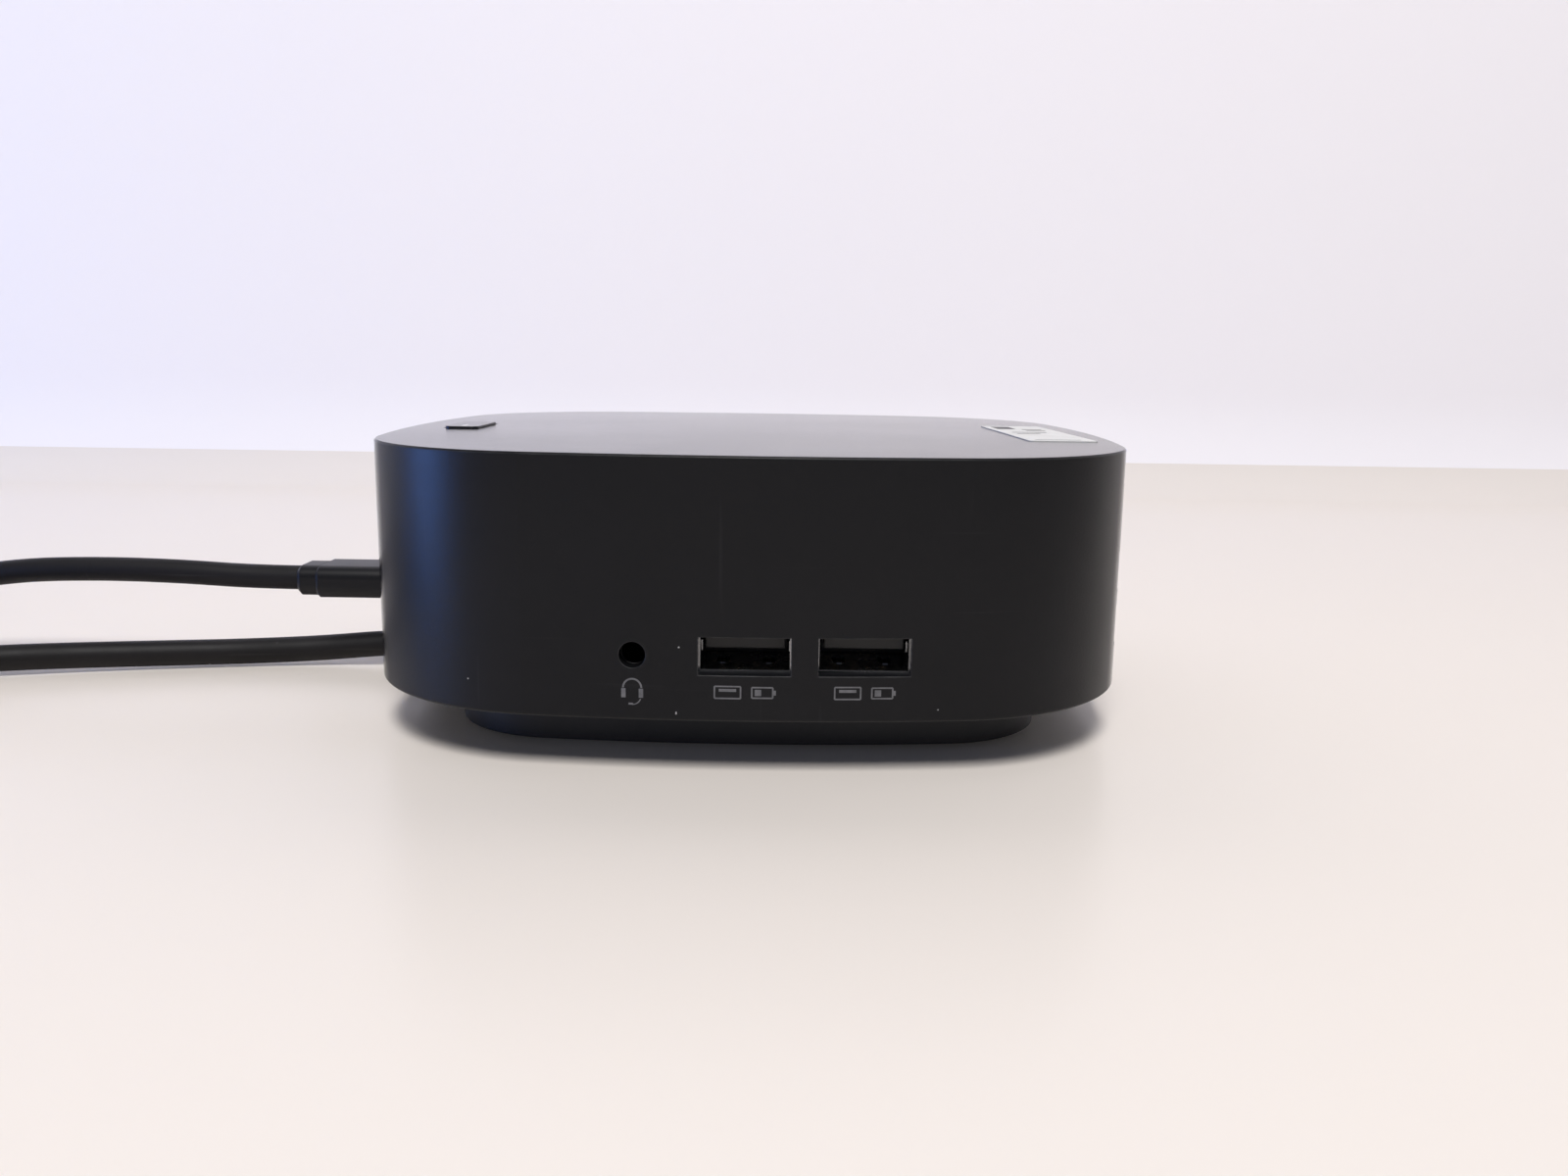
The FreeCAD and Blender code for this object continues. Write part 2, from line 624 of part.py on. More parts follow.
def display_port_shell():
    """Two display mouths in one stacked shell."""
    width, height = DP_SIZE
    shell = stack_outer(width, height, DP_DEPTH, DP_CENTRE_RISE)
    for level in (0, STACK_PITCH):
        shell = shell.cut(dp_profile(width - 2 * PORT_SHEET, height - 2 * PORT_SHEET,
                                     (-DP_DEPTH + PORT_SHEET, 1), level))
    bridge = box((-DP_WEB_SETBACK, 1), (-width, width), (height / 2, STACK_PITCH - height / 2))
    shell = shell.cut(bridge)
    return shell.translated(Vector(DP_X, DP_Y, DP_Z))


def display_port_tongues():
    width = DP_SIZE[0] - 2 * PORT_SHEET
    height = DP_SIZE[1] - 2 * PORT_SHEET
    back = -DP_DEPTH + PORT_SHEET
    solids = []
    for level in (0, STACK_PITCH):
        base = dp_profile(width, height, (back, back + INSULATOR_THICKNESS), level)
        tongue = box((back, -1.5), (-DP_TONGUE[0] / 2, DP_TONGUE[0] / 2),
                     (level - DP_TONGUE[1] / 2, level + DP_TONGUE[1] / 2))
        solids.append(joined([base, tongue]).translated(Vector(DP_X, DP_Y, DP_Z)))
    return group(solids)


# Network socket

def network_jack_shield():
    """A folded cover over the top, sides and back of the plastic housing."""
    width, height = NETWORK_SIZE
    outer = box((NETWORK_X - NETWORK_DEPTH, NETWORK_X), (NETWORK_Y - width / 2, NETWORK_Y + width / 2),
                (BOARD_TOP, BOARD_TOP + height))
    inner = box((NETWORK_X - NETWORK_DEPTH + PORT_SHEET, NETWORK_X + 1),
                (NETWORK_Y - width / 2 + PORT_SHEET, NETWORK_Y + width / 2 - PORT_SHEET),
                (BOARD_TOP - 1, BOARD_TOP + height - PORT_SHEET))
    return outer.cut(inner)


def network_jack_housing():
    """The plastic block with the plug's mouth and the channel of its latch."""
    width = NETWORK_SIZE[0] - 2 * PORT_SHEET
    body = box((NETWORK_X - NETWORK_DEPTH + PORT_SHEET, NETWORK_X),
               (NETWORK_Y - width / 2, NETWORK_Y + width / 2),
               (BOARD_TOP, BOARD_TOP + NETWORK_SIZE[1] - PORT_SHEET))
    low = NETWORK_MOUTH_Z - NETWORK_MOUTH[1] / 2
    mouth = box((NETWORK_X - NETWORK_MOUTH_DEPTH, NETWORK_X + 1),
                (NETWORK_Y - NETWORK_MOUTH[0] / 2, NETWORK_Y + NETWORK_MOUTH[0] / 2),
                (low, low + NETWORK_MOUTH[1]))
    latch = box((NETWORK_X - NETWORK_MOUTH_DEPTH, NETWORK_X + 1),
                (NETWORK_Y - NETWORK_LATCH[0] / 2, NETWORK_Y + NETWORK_LATCH[0] / 2),
                (low - NETWORK_LATCH[1], low + 0.1))
    return body.cut(mouth).cut(latch)


def network_jack_contacts():
    """Eight spring wires that slope down from the roof of the mouth."""
    roof = NETWORK_MOUTH_Z + NETWORK_MOUTH[1] / 2
    half_wire = NETWORK_CONTACT_WIRE / 2
    solids = []
    for index in range(8):
        y = NETWORK_Y + (index - 3.5) * NETWORK_CONTACT_PITCH
        front = NETWORK_X - 2.0
        back = NETWORK_X - NETWORK_MOUTH_DEPTH
        points = (Vector(front, y - half_wire, roof),
                  Vector(back, y - half_wire, roof - NETWORK_CONTACT_DROP),
                  Vector(back, y - half_wire, roof - NETWORK_CONTACT_DROP + NETWORK_CONTACT_WIRE),
                  Vector(front - 2 * NETWORK_CONTACT_WIRE, y - half_wire, roof))
        face = Part.Face(Part.makePolygon(list(points) + [points[0]]))
        solids.append(face.extrude(Vector(0, NETWORK_CONTACT_WIRE, 0)))
    return group(solids)


# Power jack, headset jack and USB-C socket

def power_jack_housing():
    width, height = POWER_JACK_SIZE
    body = box((POWER_JACK_X - POWER_JACK_DEPTH, POWER_JACK_X),
               (POWER_JACK_Y - width / 2, POWER_JACK_Y + width / 2), (BOARD_TOP, BOARD_TOP + height))
    bore = Part.makeCylinder(POWER_JACK_BORE, POWER_JACK_BORE_DEPTH + 1,
                             Vector(POWER_JACK_X - POWER_JACK_BORE_DEPTH, POWER_JACK_Y, POWER_JACK_Z),
                             Vector(1, 0, 0))
    return body.cut(bore)


def power_jack_pin():
    start = Vector(POWER_JACK_X - POWER_JACK_BORE_DEPTH, POWER_JACK_Y, POWER_JACK_Z)
    pin = Part.makeCylinder(POWER_JACK_PIN, POWER_JACK_BORE_DEPTH - 1.0, start, Vector(1, 0, 0))
    tip = [e for e in pin.Edges if e.Curve.TypeId == 'Part::GeomCircle'
           and e.CenterOfMass.x > start.x + 1]
    return pin.makeFillet(POWER_JACK_PIN * 0.6, tip)


def headset_front_y():
    """The jack's nose stands just behind the inner face of the wall."""
    return WALL + BRACKET_GAP - wall_reach(abs(HEADSET_X) + HEADSET_BODY_WIDTH / 2)


def headset_jack():
    """The jack's body. Its bore ends at a plug's depth behind the outer face of the wall."""
    front = headset_front_y()
    mouth = -wall_reach(abs(HEADSET_X) - HEADSET_WALL_HOLE)
    body = box((HEADSET_X - HEADSET_BODY_WIDTH / 2, HEADSET_X + HEADSET_BODY_WIDTH / 2),
               (front, mouth + HEADSET_DEPTH + HEADSET_BACK),
               (BOARD_TOP, HEADSET_Z + HEADSET_RISE))
    bore = Part.makeCylinder(HEADSET_BORE, HEADSET_DEPTH, Vector(HEADSET_X, mouth, HEADSET_Z), Vector(0, 1, 0))
    return body.cut(bore)


def headset_jack_contacts():
    """Three flat springs laid on the jack's roof."""
    width, length, sheet = HEADSET_SPRING
    top = HEADSET_Z + HEADSET_RISE
    front = headset_front_y() + HEADSET_SPRING_SETBACK
    return group(box((HEADSET_X + offset - width / 2, HEADSET_X + offset + width / 2),
                     (front, front + length), (top, top + sheet)) for offset in (-2.1, 0.0, 2.1))


def stadium(width, height, x_range):
    """A flat bar along X whose narrow sides are half round."""
    return bar(x_range, width, height, height / 2)


def side_usb_c_shell():
    width, height = USB_C_MOUTH
    outer = stadium(width + 2 * USB_C_SHEET, height + 2 * USB_C_SHEET, (-USB_C_DEPTH, 0))
    shell = outer.cut(stadium(width, height, (-USB_C_DEPTH + USB_C_SHEET, 1)))
    bottom = -height / 2 - USB_C_SHEET
    legs = [block(x, y, 1.2, 0.8, (-USB_C_RISE, bottom + 0.1))
            for x in (-USB_C_DEPTH + 1.2, -USB_C_DEPTH / 2) for y in (-width / 4, width / 4)]
    return face_left(joined([shell] + legs), USB_C_X, USB_C_Y, DEVICE_PLUG_Z)


def side_usb_c_tongue():
    width, height = USB_C_MOUTH
    back = -USB_C_DEPTH + USB_C_SHEET
    base = stadium(width, height, (back, back + 0.8))
    tongue = box((back, -USB_C_TONGUE_SETBACK), (-USB_C_TONGUE[0] / 2, USB_C_TONGUE[0] / 2),
                 (-USB_C_TONGUE[1] / 2, USB_C_TONGUE[1] / 2))
    return face_left(joined([base, tongue]), USB_C_X, USB_C_Y, DEVICE_PLUG_Z)


# Openings that the sockets look out of

def rear_openings(clearance):
    """Blocks that cut the rear wall, or the bracket behind it, free of the sockets."""
    cuts = []
    for y, width, low, high in (
            (REAR_USB_Y, USB_A_SIZE[0], USB_A_Z - USB_A_SIZE[1] / 2,
             USB_A_Z + STACK_PITCH + USB_A_SIZE[1] / 2),
            (HDMI_Y, HDMI_SIZE[0], HDMI_Z - HDMI_SIZE[1] / 2, HDMI_Z + HDMI_SIZE[1] / 2),
            (NETWORK_Y, NETWORK_SIZE[0], BOARD_TOP, BOARD_TOP + NETWORK_SIZE[1]),
            (POWER_JACK_Y, POWER_JACK_SIZE[0], BOARD_TOP, BOARD_TOP + POWER_JACK_SIZE[1])):
        cuts.append(box((wall_reach(abs(y) + width / 2) - OPENING_DEPTH, HALF + 1),
                        (y - width / 2 - clearance, y + width / 2 + clearance),
                        (low - clearance, high + clearance)))
    for level in (0, STACK_PITCH):
        cuts.append(box((wall_reach(abs(DP_Y) + DP_SIZE[0] / 2) - OPENING_DEPTH, HALF + 1),
                        (DP_Y - DP_SIZE[0] / 2 - clearance, DP_Y + DP_SIZE[0] / 2 + clearance),
                        (DP_Z + level - DP_SIZE[1] / 2 - clearance,
                         DP_Z + level + DP_SIZE[1] / 2 + clearance)))
    return cuts


def front_openings():
    """The mouths of the two data sockets, with pockets for their shells, and of the headset jack."""
    width, height = USB_A_SIZE
    cuts = []
    for x in FRONT_PORTS_X:
        lip = width / 2 - FRONT_LIP_SIDE_COVER
        cuts.append(box((x - lip, x + lip), (-HALF - 1, -HALF + OPENING_DEPTH),
                        (USB_A_Z - height / 2, USB_A_Z + height / 2 - FRONT_LIP_TOP_COVER)))
        cuts.append(block(x, front_mouth(x) - FRONT_LIP_GAP + OPENING_DEPTH / 2,
                          width + 2 * PORT_CLEARANCE, OPENING_DEPTH,
                          (USB_A_Z - height / 2 - PORT_CLEARANCE, USB_A_Z + height / 2 + PORT_CLEARANCE)))
    cuts.append(Part.makeCylinder(HEADSET_WALL_HOLE, OPENING_DEPTH, Vector(HEADSET_X, -HALF - 1, HEADSET_Z),
                                  Vector(0, 1, 0)))
    return cuts


def left_opening():
    """The USB-C socket's mouth in the left wall."""
    width = USB_C_MOUTH[0] + 2 * (USB_C_SHEET + PORT_CLEARANCE)
    height = USB_C_MOUTH[1] + 2 * (USB_C_SHEET + PORT_CLEARANCE)
    hole = stadium(width, height, (-HALF - 1, -HALF + WALL + 3))
    return hole.translated(Vector(0, USB_C_Y, DEVICE_PLUG_Z))


# Housing pieces

def button_posts():
    """Where the two posts of the button's board stand."""
    x = BUTTON_X + BUTTON_BOARD_REACH[1] - BUTTON_POST_INSET
    return [(x, BUTTON_Y + side * (BUTTON_BOARD_HALF_LENGTH - BUTTON_POST_INSET)) for side in (-1, 1)]


def top_shell():
    """The top and the side wall in one moulding, with its screw posts inside."""
    shell = body_plan(0, (BODY_LIFT, BODY_HEIGHT))
    top_edges = [e for e in shell.Edges if min(v.Z for v in e.Vertexes) > BODY_HEIGHT - 0.01]
    shell = shell.makeChamfer(TOP_EDGE_CHAMFER, top_edges)
    low_edges = [e for e in shell.Edges if max(v.Z for v in e.Vertexes) < BODY_LIFT + 0.01]
    shell = shell.makeFillet(BOTTOM_EDGE_RADIUS, low_edges)
    shell = shell.cut(body_plan(WALL, (BODY_LIFT - 1, CEILING)))
    for x, y in POSTS:
        post = rod(x, y, POST_RADIUS, (COVER_TOP, CEILING + 0.5))
        shell = shell.fuse(post)
        shell = shell.cut(rod(x, y, SCREW_RADIUS + SCREW_CLEARANCE,
                              (COVER_TOP - 1, COVER_TOP + SCREW_ENGAGEMENT + 1)))
    for x, y in button_posts():
        shell = shell.fuse(rod(x, y, BUTTON_POST_RADIUS, (button_board_top(), CEILING + 0.5)))
        shell = shell.cut(rod(x, y, BUTTON_SCREW_RADIUS + SCREW_CLEARANCE,
                              (button_board_top() - 1, button_board_top() + BUTTON_SCREW_LENGTH)))
    for cut in rear_openings(PORT_CLEARANCE) + front_openings() + [left_opening()]:
        shell = shell.cut(cut)
    lock = box((wall_reach(LOCK_Y) - OPENING_DEPTH, HALF + 1), (LOCK_Y - LOCK_SLOT[0] / 2, LOCK_Y + LOCK_SLOT[0] / 2),
               (LOCK_Z - LOCK_SLOT[1] / 2, LOCK_Z + LOCK_SLOT[1] / 2))
    button_well = rounded_block(BUTTON_X, BUTTON_Y, BUTTON_SIZE[0] + 2 * BUTTON_GAP,
                                BUTTON_SIZE[1] + 2 * BUTTON_GAP, BUTTON_CORNER + BUTTON_GAP,
                                (CEILING - 1, BODY_HEIGHT + 1))
    return shell.cut(lock).cut(button_well).removeSplitter()


def bottom_cover():
    """The plate that closes the housing, with the main board's standoffs."""
    cover = body_plan(WALL + COVER_CLEARANCE, (COVER_BOTTOM, COVER_TOP))
    for x, y in STANDOFFS:
        cover = cover.fuse(rod(x, y, STANDOFF_RADIUS, (COVER_TOP - 0.5, BOARD_BOTTOM)))
        cover = cover.cut(rod(x, y, BOARD_SCREW_RADIUS + SCREW_CLEARANCE, (COVER_BOTTOM + 1, BOARD_TOP)))
    for x, y in POSTS:
        cover = cover.cut(rod(x, y, SCREW_RADIUS + SCREW_CLEARANCE, (COVER_BOTTOM - 1, COVER_TOP + 1)))
    lead_hole = rod(INNER_LEAD_X, HOST_EXIT_Y, INNER_LEAD_DIAMETER / 2 + POST_CLEARANCE,
                    (COVER_BOTTOM - 1, COVER_TOP + 1))
    return cover.cut(lead_hole).removeSplitter()


def foot_plinth():
    """The drawn-in foot: a tray with a sleeve round each long screw."""
    foot = foot_plan(0, (PAD_THICKNESS, COVER_BOTTOM))
    foot = foot.cut(foot_plan(FOOT_WALL, (FOOT_INNER_FLOOR, COVER_BOTTOM + 1)))
    for x, y in POSTS:
        foot = foot.fuse(rod(x, y, POST_RADIUS + 0.6, (FOOT_INNER_FLOOR - 0.5, COVER_BOTTOM)))
        foot = foot.cut(rod(x, y, SCREW_RADIUS + SCREW_CLEARANCE, (0, COVER_BOTTOM + 1)))
        foot = foot.cut(rod(x, y, SCREW_HEAD_RADIUS + 0.2,
                            (0, PAD_THICKNESS + SCREW_HEAD_HEIGHT + 0.2)))
    width, height = GLAND_NECK
    gland_hole = box((-FOOT_HALF - 1, -FOOT_HALF + FOOT_WALL + 1),
                     (HOST_EXIT_Y - width / 2 - GLAND_CLEARANCE,
                      HOST_EXIT_Y + width / 2 + GLAND_CLEARANCE),
                     (HOST_EXIT_Z - height / 2 - GLAND_CLEARANCE,
                      HOST_EXIT_Z + height / 2 + GLAND_CLEARANCE))
    return foot.cut(gland_hole).removeSplitter()


def rubber_foot_ring():
    """A glued rubber band that hides the screws and grips the table."""
    outer = foot_plan(PAD_MARGIN, (0, PAD_THICKNESS))
    return outer.cut(foot_plan(PAD_MARGIN + PAD_BAND, (-1, PAD_THICKNESS + 1)))


def steel_weight_plate():
    """A steel plate on the foot's floor, cut away round the sleeves and the cable."""
    top = FOOT_INNER_FLOOR + WEIGHT_THICKNESS
    plate = foot_plan(FOOT_WALL + WEIGHT_CLEARANCE, (FOOT_INNER_FLOOR, top))
    for x, y in POSTS:
        plate = plate.cut(rod(x, y, POST_RADIUS + 0.6 + POST_CLEARANCE, (0, top + 1)))
    channel = GLAND_FLANGE[0] + 2 * POST_CLEARANCE
    slot = box((-FOOT_HALF, INNER_LEAD_X + INNER_LEAD_DIAMETER / 2 + POST_CLEARANCE),
               (HOST_EXIT_Y - channel / 2, HOST_EXIT_Y + channel / 2), (0, top + 1))
    return plate.cut(slot)


def case_screws():
    """Four long screws from under the foot up into the housing's posts."""
    low = PAD_THICKNESS + 0.2
    head_top = PAD_THICKNESS + 0.2 + SCREW_HEAD_HEIGHT
    solids = []
    for x, y in POSTS:
        screw = joined([rod(x, y, SCREW_HEAD_RADIUS, (low, head_top)),
                        rod(x, y, SCREW_RADIUS, (low, COVER_TOP + SCREW_ENGAGEMENT))])
        recess = rounded_block(x, y, 1.6, 1.6, 0.3, (low - 1, low + 0.9))
        solids.append(screw.cut(recess))
    return group(solids)


def board_outline():
    """The main board's plan: the housing's shape drawn in, kept to whole arcs."""
    return body_plan(WALL + BOARD_CLEARANCE, (BOARD_BOTTOM, BOARD_TOP))


def main_board():
    board = board_outline()
    for x, y in POSTS:
        board = board.cut(rod(x, y, POST_RADIUS + POST_CLEARANCE, (0, BODY_HEIGHT)))
    for x, y in STANDOFFS:
        board = board.cut(rod(x, y, BOARD_SCREW_RADIUS + SCREW_CLEARANCE, (0, BODY_HEIGHT)))
    return board


def board_screws():
    """Five short screws that hold the board to its standoffs."""
    solids = []
    for x, y in STANDOFFS:
        head = rod(x, y, BOARD_SCREW_HEAD_RADIUS, (BOARD_TOP, BOARD_TOP + BOARD_SCREW_HEAD_HEIGHT))
        shank = rod(x, y, BOARD_SCREW_RADIUS, (COVER_BOTTOM + 1.2, BOARD_TOP + 0.5))
        slot = block(x, y, 0.6, 2.6, (BOARD_TOP + BOARD_SCREW_HEAD_HEIGHT - 0.6, BODY_HEIGHT))
        solids.append(joined([head, shank]).cut(slot))
    return group(solids)


def controller_chips():
    return group(block(x, y, size, size, (BOARD_TOP, BOARD_TOP + CHIP_HEIGHT)) for x, y, size in CHIPS)


def shield_can():
    """A folded sheet cover over the chips, open to the board."""
    x, y = SHIELD_CENTRE
    outer = block(x, y, SHIELD_SIZE[0], SHIELD_SIZE[1], (BOARD_TOP, BOARD_TOP + SHIELD_HEIGHT))
    inner = block(x, y, SHIELD_SIZE[0] - 2 * SHIELD_SHEET, SHIELD_SIZE[1] - 2 * SHIELD_SHEET,
                  (BOARD_TOP - 1, BOARD_TOP + SHIELD_HEIGHT - SHIELD_SHEET))
    return outer.cut(inner)


def thermal_pads():
    """Soft pads from each chip to the shield, and one from the shield to the heat sink."""
    low = BOARD_TOP + CHIP_HEIGHT
    high = BOARD_TOP + SHIELD_HEIGHT - SHIELD_SHEET
    pads = [block(x, y, size - CHIP_PAD_OVERHANG, size - CHIP_PAD_OVERHANG, (low, high))
            for x, y, size in CHIPS]
    top = BOARD_TOP + SHIELD_HEIGHT
    pads.append(block(*SHIELD_CENTRE, *THERMAL_PAD_SIZE, (top, top + THERMAL_PAD_THICKNESS)))
    return group(pads)


def heat_sink():
    """An aluminium base with a row of fins."""
    base_z = BOARD_TOP + SHIELD_HEIGHT + THERMAL_PAD_THICKNESS
    x, y = SHIELD_CENTRE
    sink = block(x, y, *SINK_SIZE, (base_z, base_z + SINK_BASE))
    pitch = (SINK_SIZE[0] - FIN_THICKNESS) / (FIN_COUNT - 1)
    fins = []
    for index in range(FIN_COUNT):
        fin_x = x - SINK_SIZE[0] / 2 + FIN_THICKNESS / 2 + index * pitch
        fins.append(block(fin_x, y, FIN_THICKNESS, SINK_SIZE[1],
                          (base_z + SINK_BASE - 0.5, base_z + SINK_BASE + FIN_HEIGHT)))
    return joined([sink] + fins)


def power_inductors():
    x = HALF - INDUCTOR_INSET
    outer_y = RIGHT_POST_Y - POST_RADIUS - INDUCTOR_POST_GAP - INDUCTOR_SIZE / 2
    return group(rounded_block(x, sign * (outer_y - index * INDUCTOR_PITCH), INDUCTOR_SIZE, INDUCTOR_SIZE, 0.8,
                               (BOARD_TOP, BOARD_TOP + INDUCTOR_HEIGHT))
                 for sign in (-1, 1) for index in (0, 1))


def capacitors():
    """One row with a bank beside each rear screw post."""
    left = [LEFT_POST_X + CAPACITOR_POST_GAPS[0] + index * CAPACITOR_PITCH for index in range(CAPACITOR_BANKS[0])]
    right = [RIGHT_POST_X - CAPACITOR_POST_GAPS[1] - index * CAPACITOR_PITCH for index in range(CAPACITOR_BANKS[1])]
    return group(rod(x, HALF - CAPACITOR_INSET, CAPACITOR_RADIUS, (BOARD_TOP, BOARD_TOP + CAPACITOR_HEIGHT))
                 for x in left + right)


def rear_port_bracket():
    """A thin steel strip that follows the inside of the rear wall round the sockets."""
    low = BOARD_TOP
    inset = WALL + BRACKET_GAP
    strip = body_plan(inset, (low, low + BRACKET_HEIGHT))
    strip = strip.cut(body_plan(inset + BRACKET_SHEET, (low - 1, low + BRACKET_HEIGHT + 1)))
    reach = POWER_JACK_Y + POWER_JACK_SIZE[0] / 2 + BRACKET_MARGIN
    strip = strip.common(box((0, HALF), (-reach, reach), (0, BODY_HEIGHT)))
    for cut in rear_openings(0.05):
        strip = strip.cut(cut)
    return strip


def lock_plate():
    """The steel plate behind the lock slot."""
    width, height, sheet = LOCK_PLATE
    x = inner_reach(abs(LOCK_Y) + width / 2) - LOCK_PLATE_GAP
    plate = box((x - sheet, x), (LOCK_Y - width / 2, LOCK_Y + width / 2), (CEILING - height, CEILING))
    slot = box((x - sheet - 1, x + 1), (LOCK_Y - LOCK_SLOT[0] / 2, LOCK_Y + LOCK_SLOT[0] / 2),
               (LOCK_Z - LOCK_SLOT[1] / 2, CEILING - 0.6))
    return plate.cut(slot)


# Power button

def flange_top():
    return CEILING - BUTTON_FLANGE_GAP


def stem_bottom():
    return flange_top() - BUTTON_FLANGE_THICKNESS - BUTTON_STEM_LENGTH


def switch_top():
    return stem_bottom() - PLUNGER_SHOWING


def button_board_top():
    return switch_top() - SWITCH_HEIGHT


def power_button_cap():
    """The cap flush in the top, its retaining flange and the stem that presses the switch."""
    width, length = BUTTON_SIZE
    cap = rounded_block(BUTTON_X, BUTTON_Y, width, length, BUTTON_CORNER,
                        (flange_top() - 0.5, BODY_HEIGHT + BUTTON_PROUD))
    flange = rounded_block(BUTTON_X, BUTTON_Y, width + 2 * BUTTON_FLANGE, length + 2 * BUTTON_FLANGE,
                           BUTTON_CORNER, (flange_top() - BUTTON_FLANGE_THICKNESS, flange_top()))
    stem = rod(BUTTON_X, BUTTON_Y, BUTTON_STEM_RADIUS, (stem_bottom(), flange_top() - 0.5))
    window = block(BUTTON_X, light_guide_y(), LIGHT_GUIDE_SIZE[0] + 2 * LIGHT_GUIDE_CLEARANCE,
                   LIGHT_GUIDE_SIZE[1] + 2 * LIGHT_GUIDE_CLEARANCE, (0, BODY_HEIGHT + 1))
    return joined([cap, flange, stem]).cut(window)


def light_guide_y():
    """The light window stands beside the stem, towards the front."""
    return BUTTON_Y - BUTTON_STEM_RADIUS - LIGHT_GUIDE_SIZE[1]


def button_light_guide():
    low = flange_top() - BUTTON_FLANGE_THICKNESS
    guide = block(BUTTON_X, light_guide_y(), *LIGHT_GUIDE_SIZE, (low - 0.5, BODY_HEIGHT + BUTTON_PROUD))
    lip = block(BUTTON_X, light_guide_y(), LIGHT_GUIDE_SIZE[0] + 1.2, LIGHT_GUIDE_SIZE[1] + 1.2,
                (low - 0.5, low))
    return joined([guide, lip])


def button_plunger():
    return rod(BUTTON_X, BUTTON_Y, PLUNGER_RADIUS, (switch_top() - PLUNGER_SEATED, stem_bottom()))


def button_switch():
    """The switch's case, with the well that its plunger sinks into."""
    body = block(BUTTON_X, BUTTON_Y, SWITCH_SIZE, SWITCH_SIZE, (button_board_top(), switch_top()))
    well_bottom = switch_top() - PLUNGER_SEATED - BUTTON_TRAVEL - 0.3
    return body.cut(rod(BUTTON_X, BUTTON_Y, PLUNGER_RADIUS + PLUNGER_CLEARANCE,
                        (well_bottom, switch_top() + 1)))


def button_board():
    low = button_board_top() - BUTTON_BOARD_THICKNESS
    board = box((BUTTON_X - BUTTON_BOARD_REACH[0], BUTTON_X + BUTTON_BOARD_REACH[1]),
                (BUTTON_Y - BUTTON_BOARD_HALF_LENGTH, BUTTON_Y + BUTTON_BOARD_HALF_LENGTH),
                (low, button_board_top()))
    for x, y in button_posts():
        board = board.cut(rod(x, y, BUTTON_SCREW_RADIUS + SCREW_CLEARANCE, (0, BODY_HEIGHT)))
    return board


def button_board_screws():
    low = button_board_top() - BUTTON_BOARD_THICKNESS
    solids = []
    for x, y in button_posts():
        head = rod(x, y, BUTTON_SCREW_HEAD_RADIUS, (low - BUTTON_SCREW_HEAD_HEIGHT, low))
        shank = rod(x, y, BUTTON_SCREW_RADIUS,
                    (low - 0.5, low + BUTTON_SCREW_LENGTH))
        solids.append(joined([head, shank]))
    return group(solids)


def flex_x():
    """The flat cable hangs against the board's inner edge."""
    return BUTTON_X + BUTTON_BOARD_REACH[1]


def button_flex():
    low = BOARD_TOP + FLEX_CONNECTOR[2]
    return box((flex_x(), flex_x() + FLEX_SHEET), (BUTTON_Y - FLEX_WIDTH / 2, BUTTON_Y + FLEX_WIDTH / 2),
               (low, button_board_top()))


def flex_connector():
    return block(flex_x() + FLEX_SHEET / 2, BUTTON_Y, FLEX_CONNECTOR[0], FLEX_CONNECTOR[1],
                 (BOARD_TOP, BOARD_TOP + FLEX_CONNECTOR[2]))


def blank_label():
    """A paper label with rounded corners stuck on the top, a little out of square."""
    label = rounded_block(0, 0, *LABEL_SIZE, 0.8, (BODY_HEIGHT, BODY_HEIGHT + LABEL_THICKNESS))
    label.rotate(Vector(0, 0, 0), Vector(0, 0, 1), LABEL_TURN)
    return label.translated(Vector(HALF - LABEL_INSET, LABEL_Y, 0))


# Cable entry in the foot

def cable_gland():
    """A rubber gland: a flange inside the foot, a neck in its wall and a tapered nose."""
    inner_x = -FOOT_HALF + FOOT_WALL + GLAND_FLANGE_GAP
    flange = box((inner_x, inner_x + GLAND_FLANGE[2]),
                 (HOST_EXIT_Y - GLAND_FLANGE[0] / 2, HOST_EXIT_Y + GLAND_FLANGE[0] / 2),
                 (FOOT_INNER_FLOOR, HOST_EXIT_Z + GLAND_FLANGE[1] / 2 - 0.2))
    neck = box((-FOOT_HALF, inner_x), (HOST_EXIT_Y - GLAND_NECK[0] / 2, HOST_EXIT_Y + GLAND_NECK[0] / 2),
               (HOST_EXIT_Z - GLAND_NECK[1] / 2, HOST_EXIT_Z + GLAND_NECK[1] / 2))
    nose = Part.makeCone(GLAND_NECK[1] / 2, HOST_CORD_DIAMETER / 2 + 0.15, GLAND_LENGTH,
                         Vector(-FOOT_HALF, HOST_EXIT_Y, HOST_EXIT_Z), Vector(-1, 0, 0))
    return joined([flange, neck, nose])


def host_cable_inner_lead():
    """The cable's core bends up from the gland to the header under the main board."""
    start_x = -FOOT_HALF + FOOT_WALL + GLAND_FLANGE_GAP + GLAND_FLANGE[2]
    top = BOARD_BOTTOM - HEADER_HEIGHT
    route = ((start_x, HOST_EXIT_Y, HOST_EXIT_Z), (INNER_LEAD_X, HOST_EXIT_Y, HOST_EXIT_Z),
             (INNER_LEAD_X, HOST_EXIT_Y, top))
    return cord_tube("host_cable_inner_lead", route, INNER_LEAD_DIAMETER)


def host_cable_header():
    return block(INNER_LEAD_X, HOST_EXIT_Y, *HEADER_SIZE, (BOARD_BOTTOM - HEADER_HEIGHT, BOARD_BOTTOM))


# Free cords

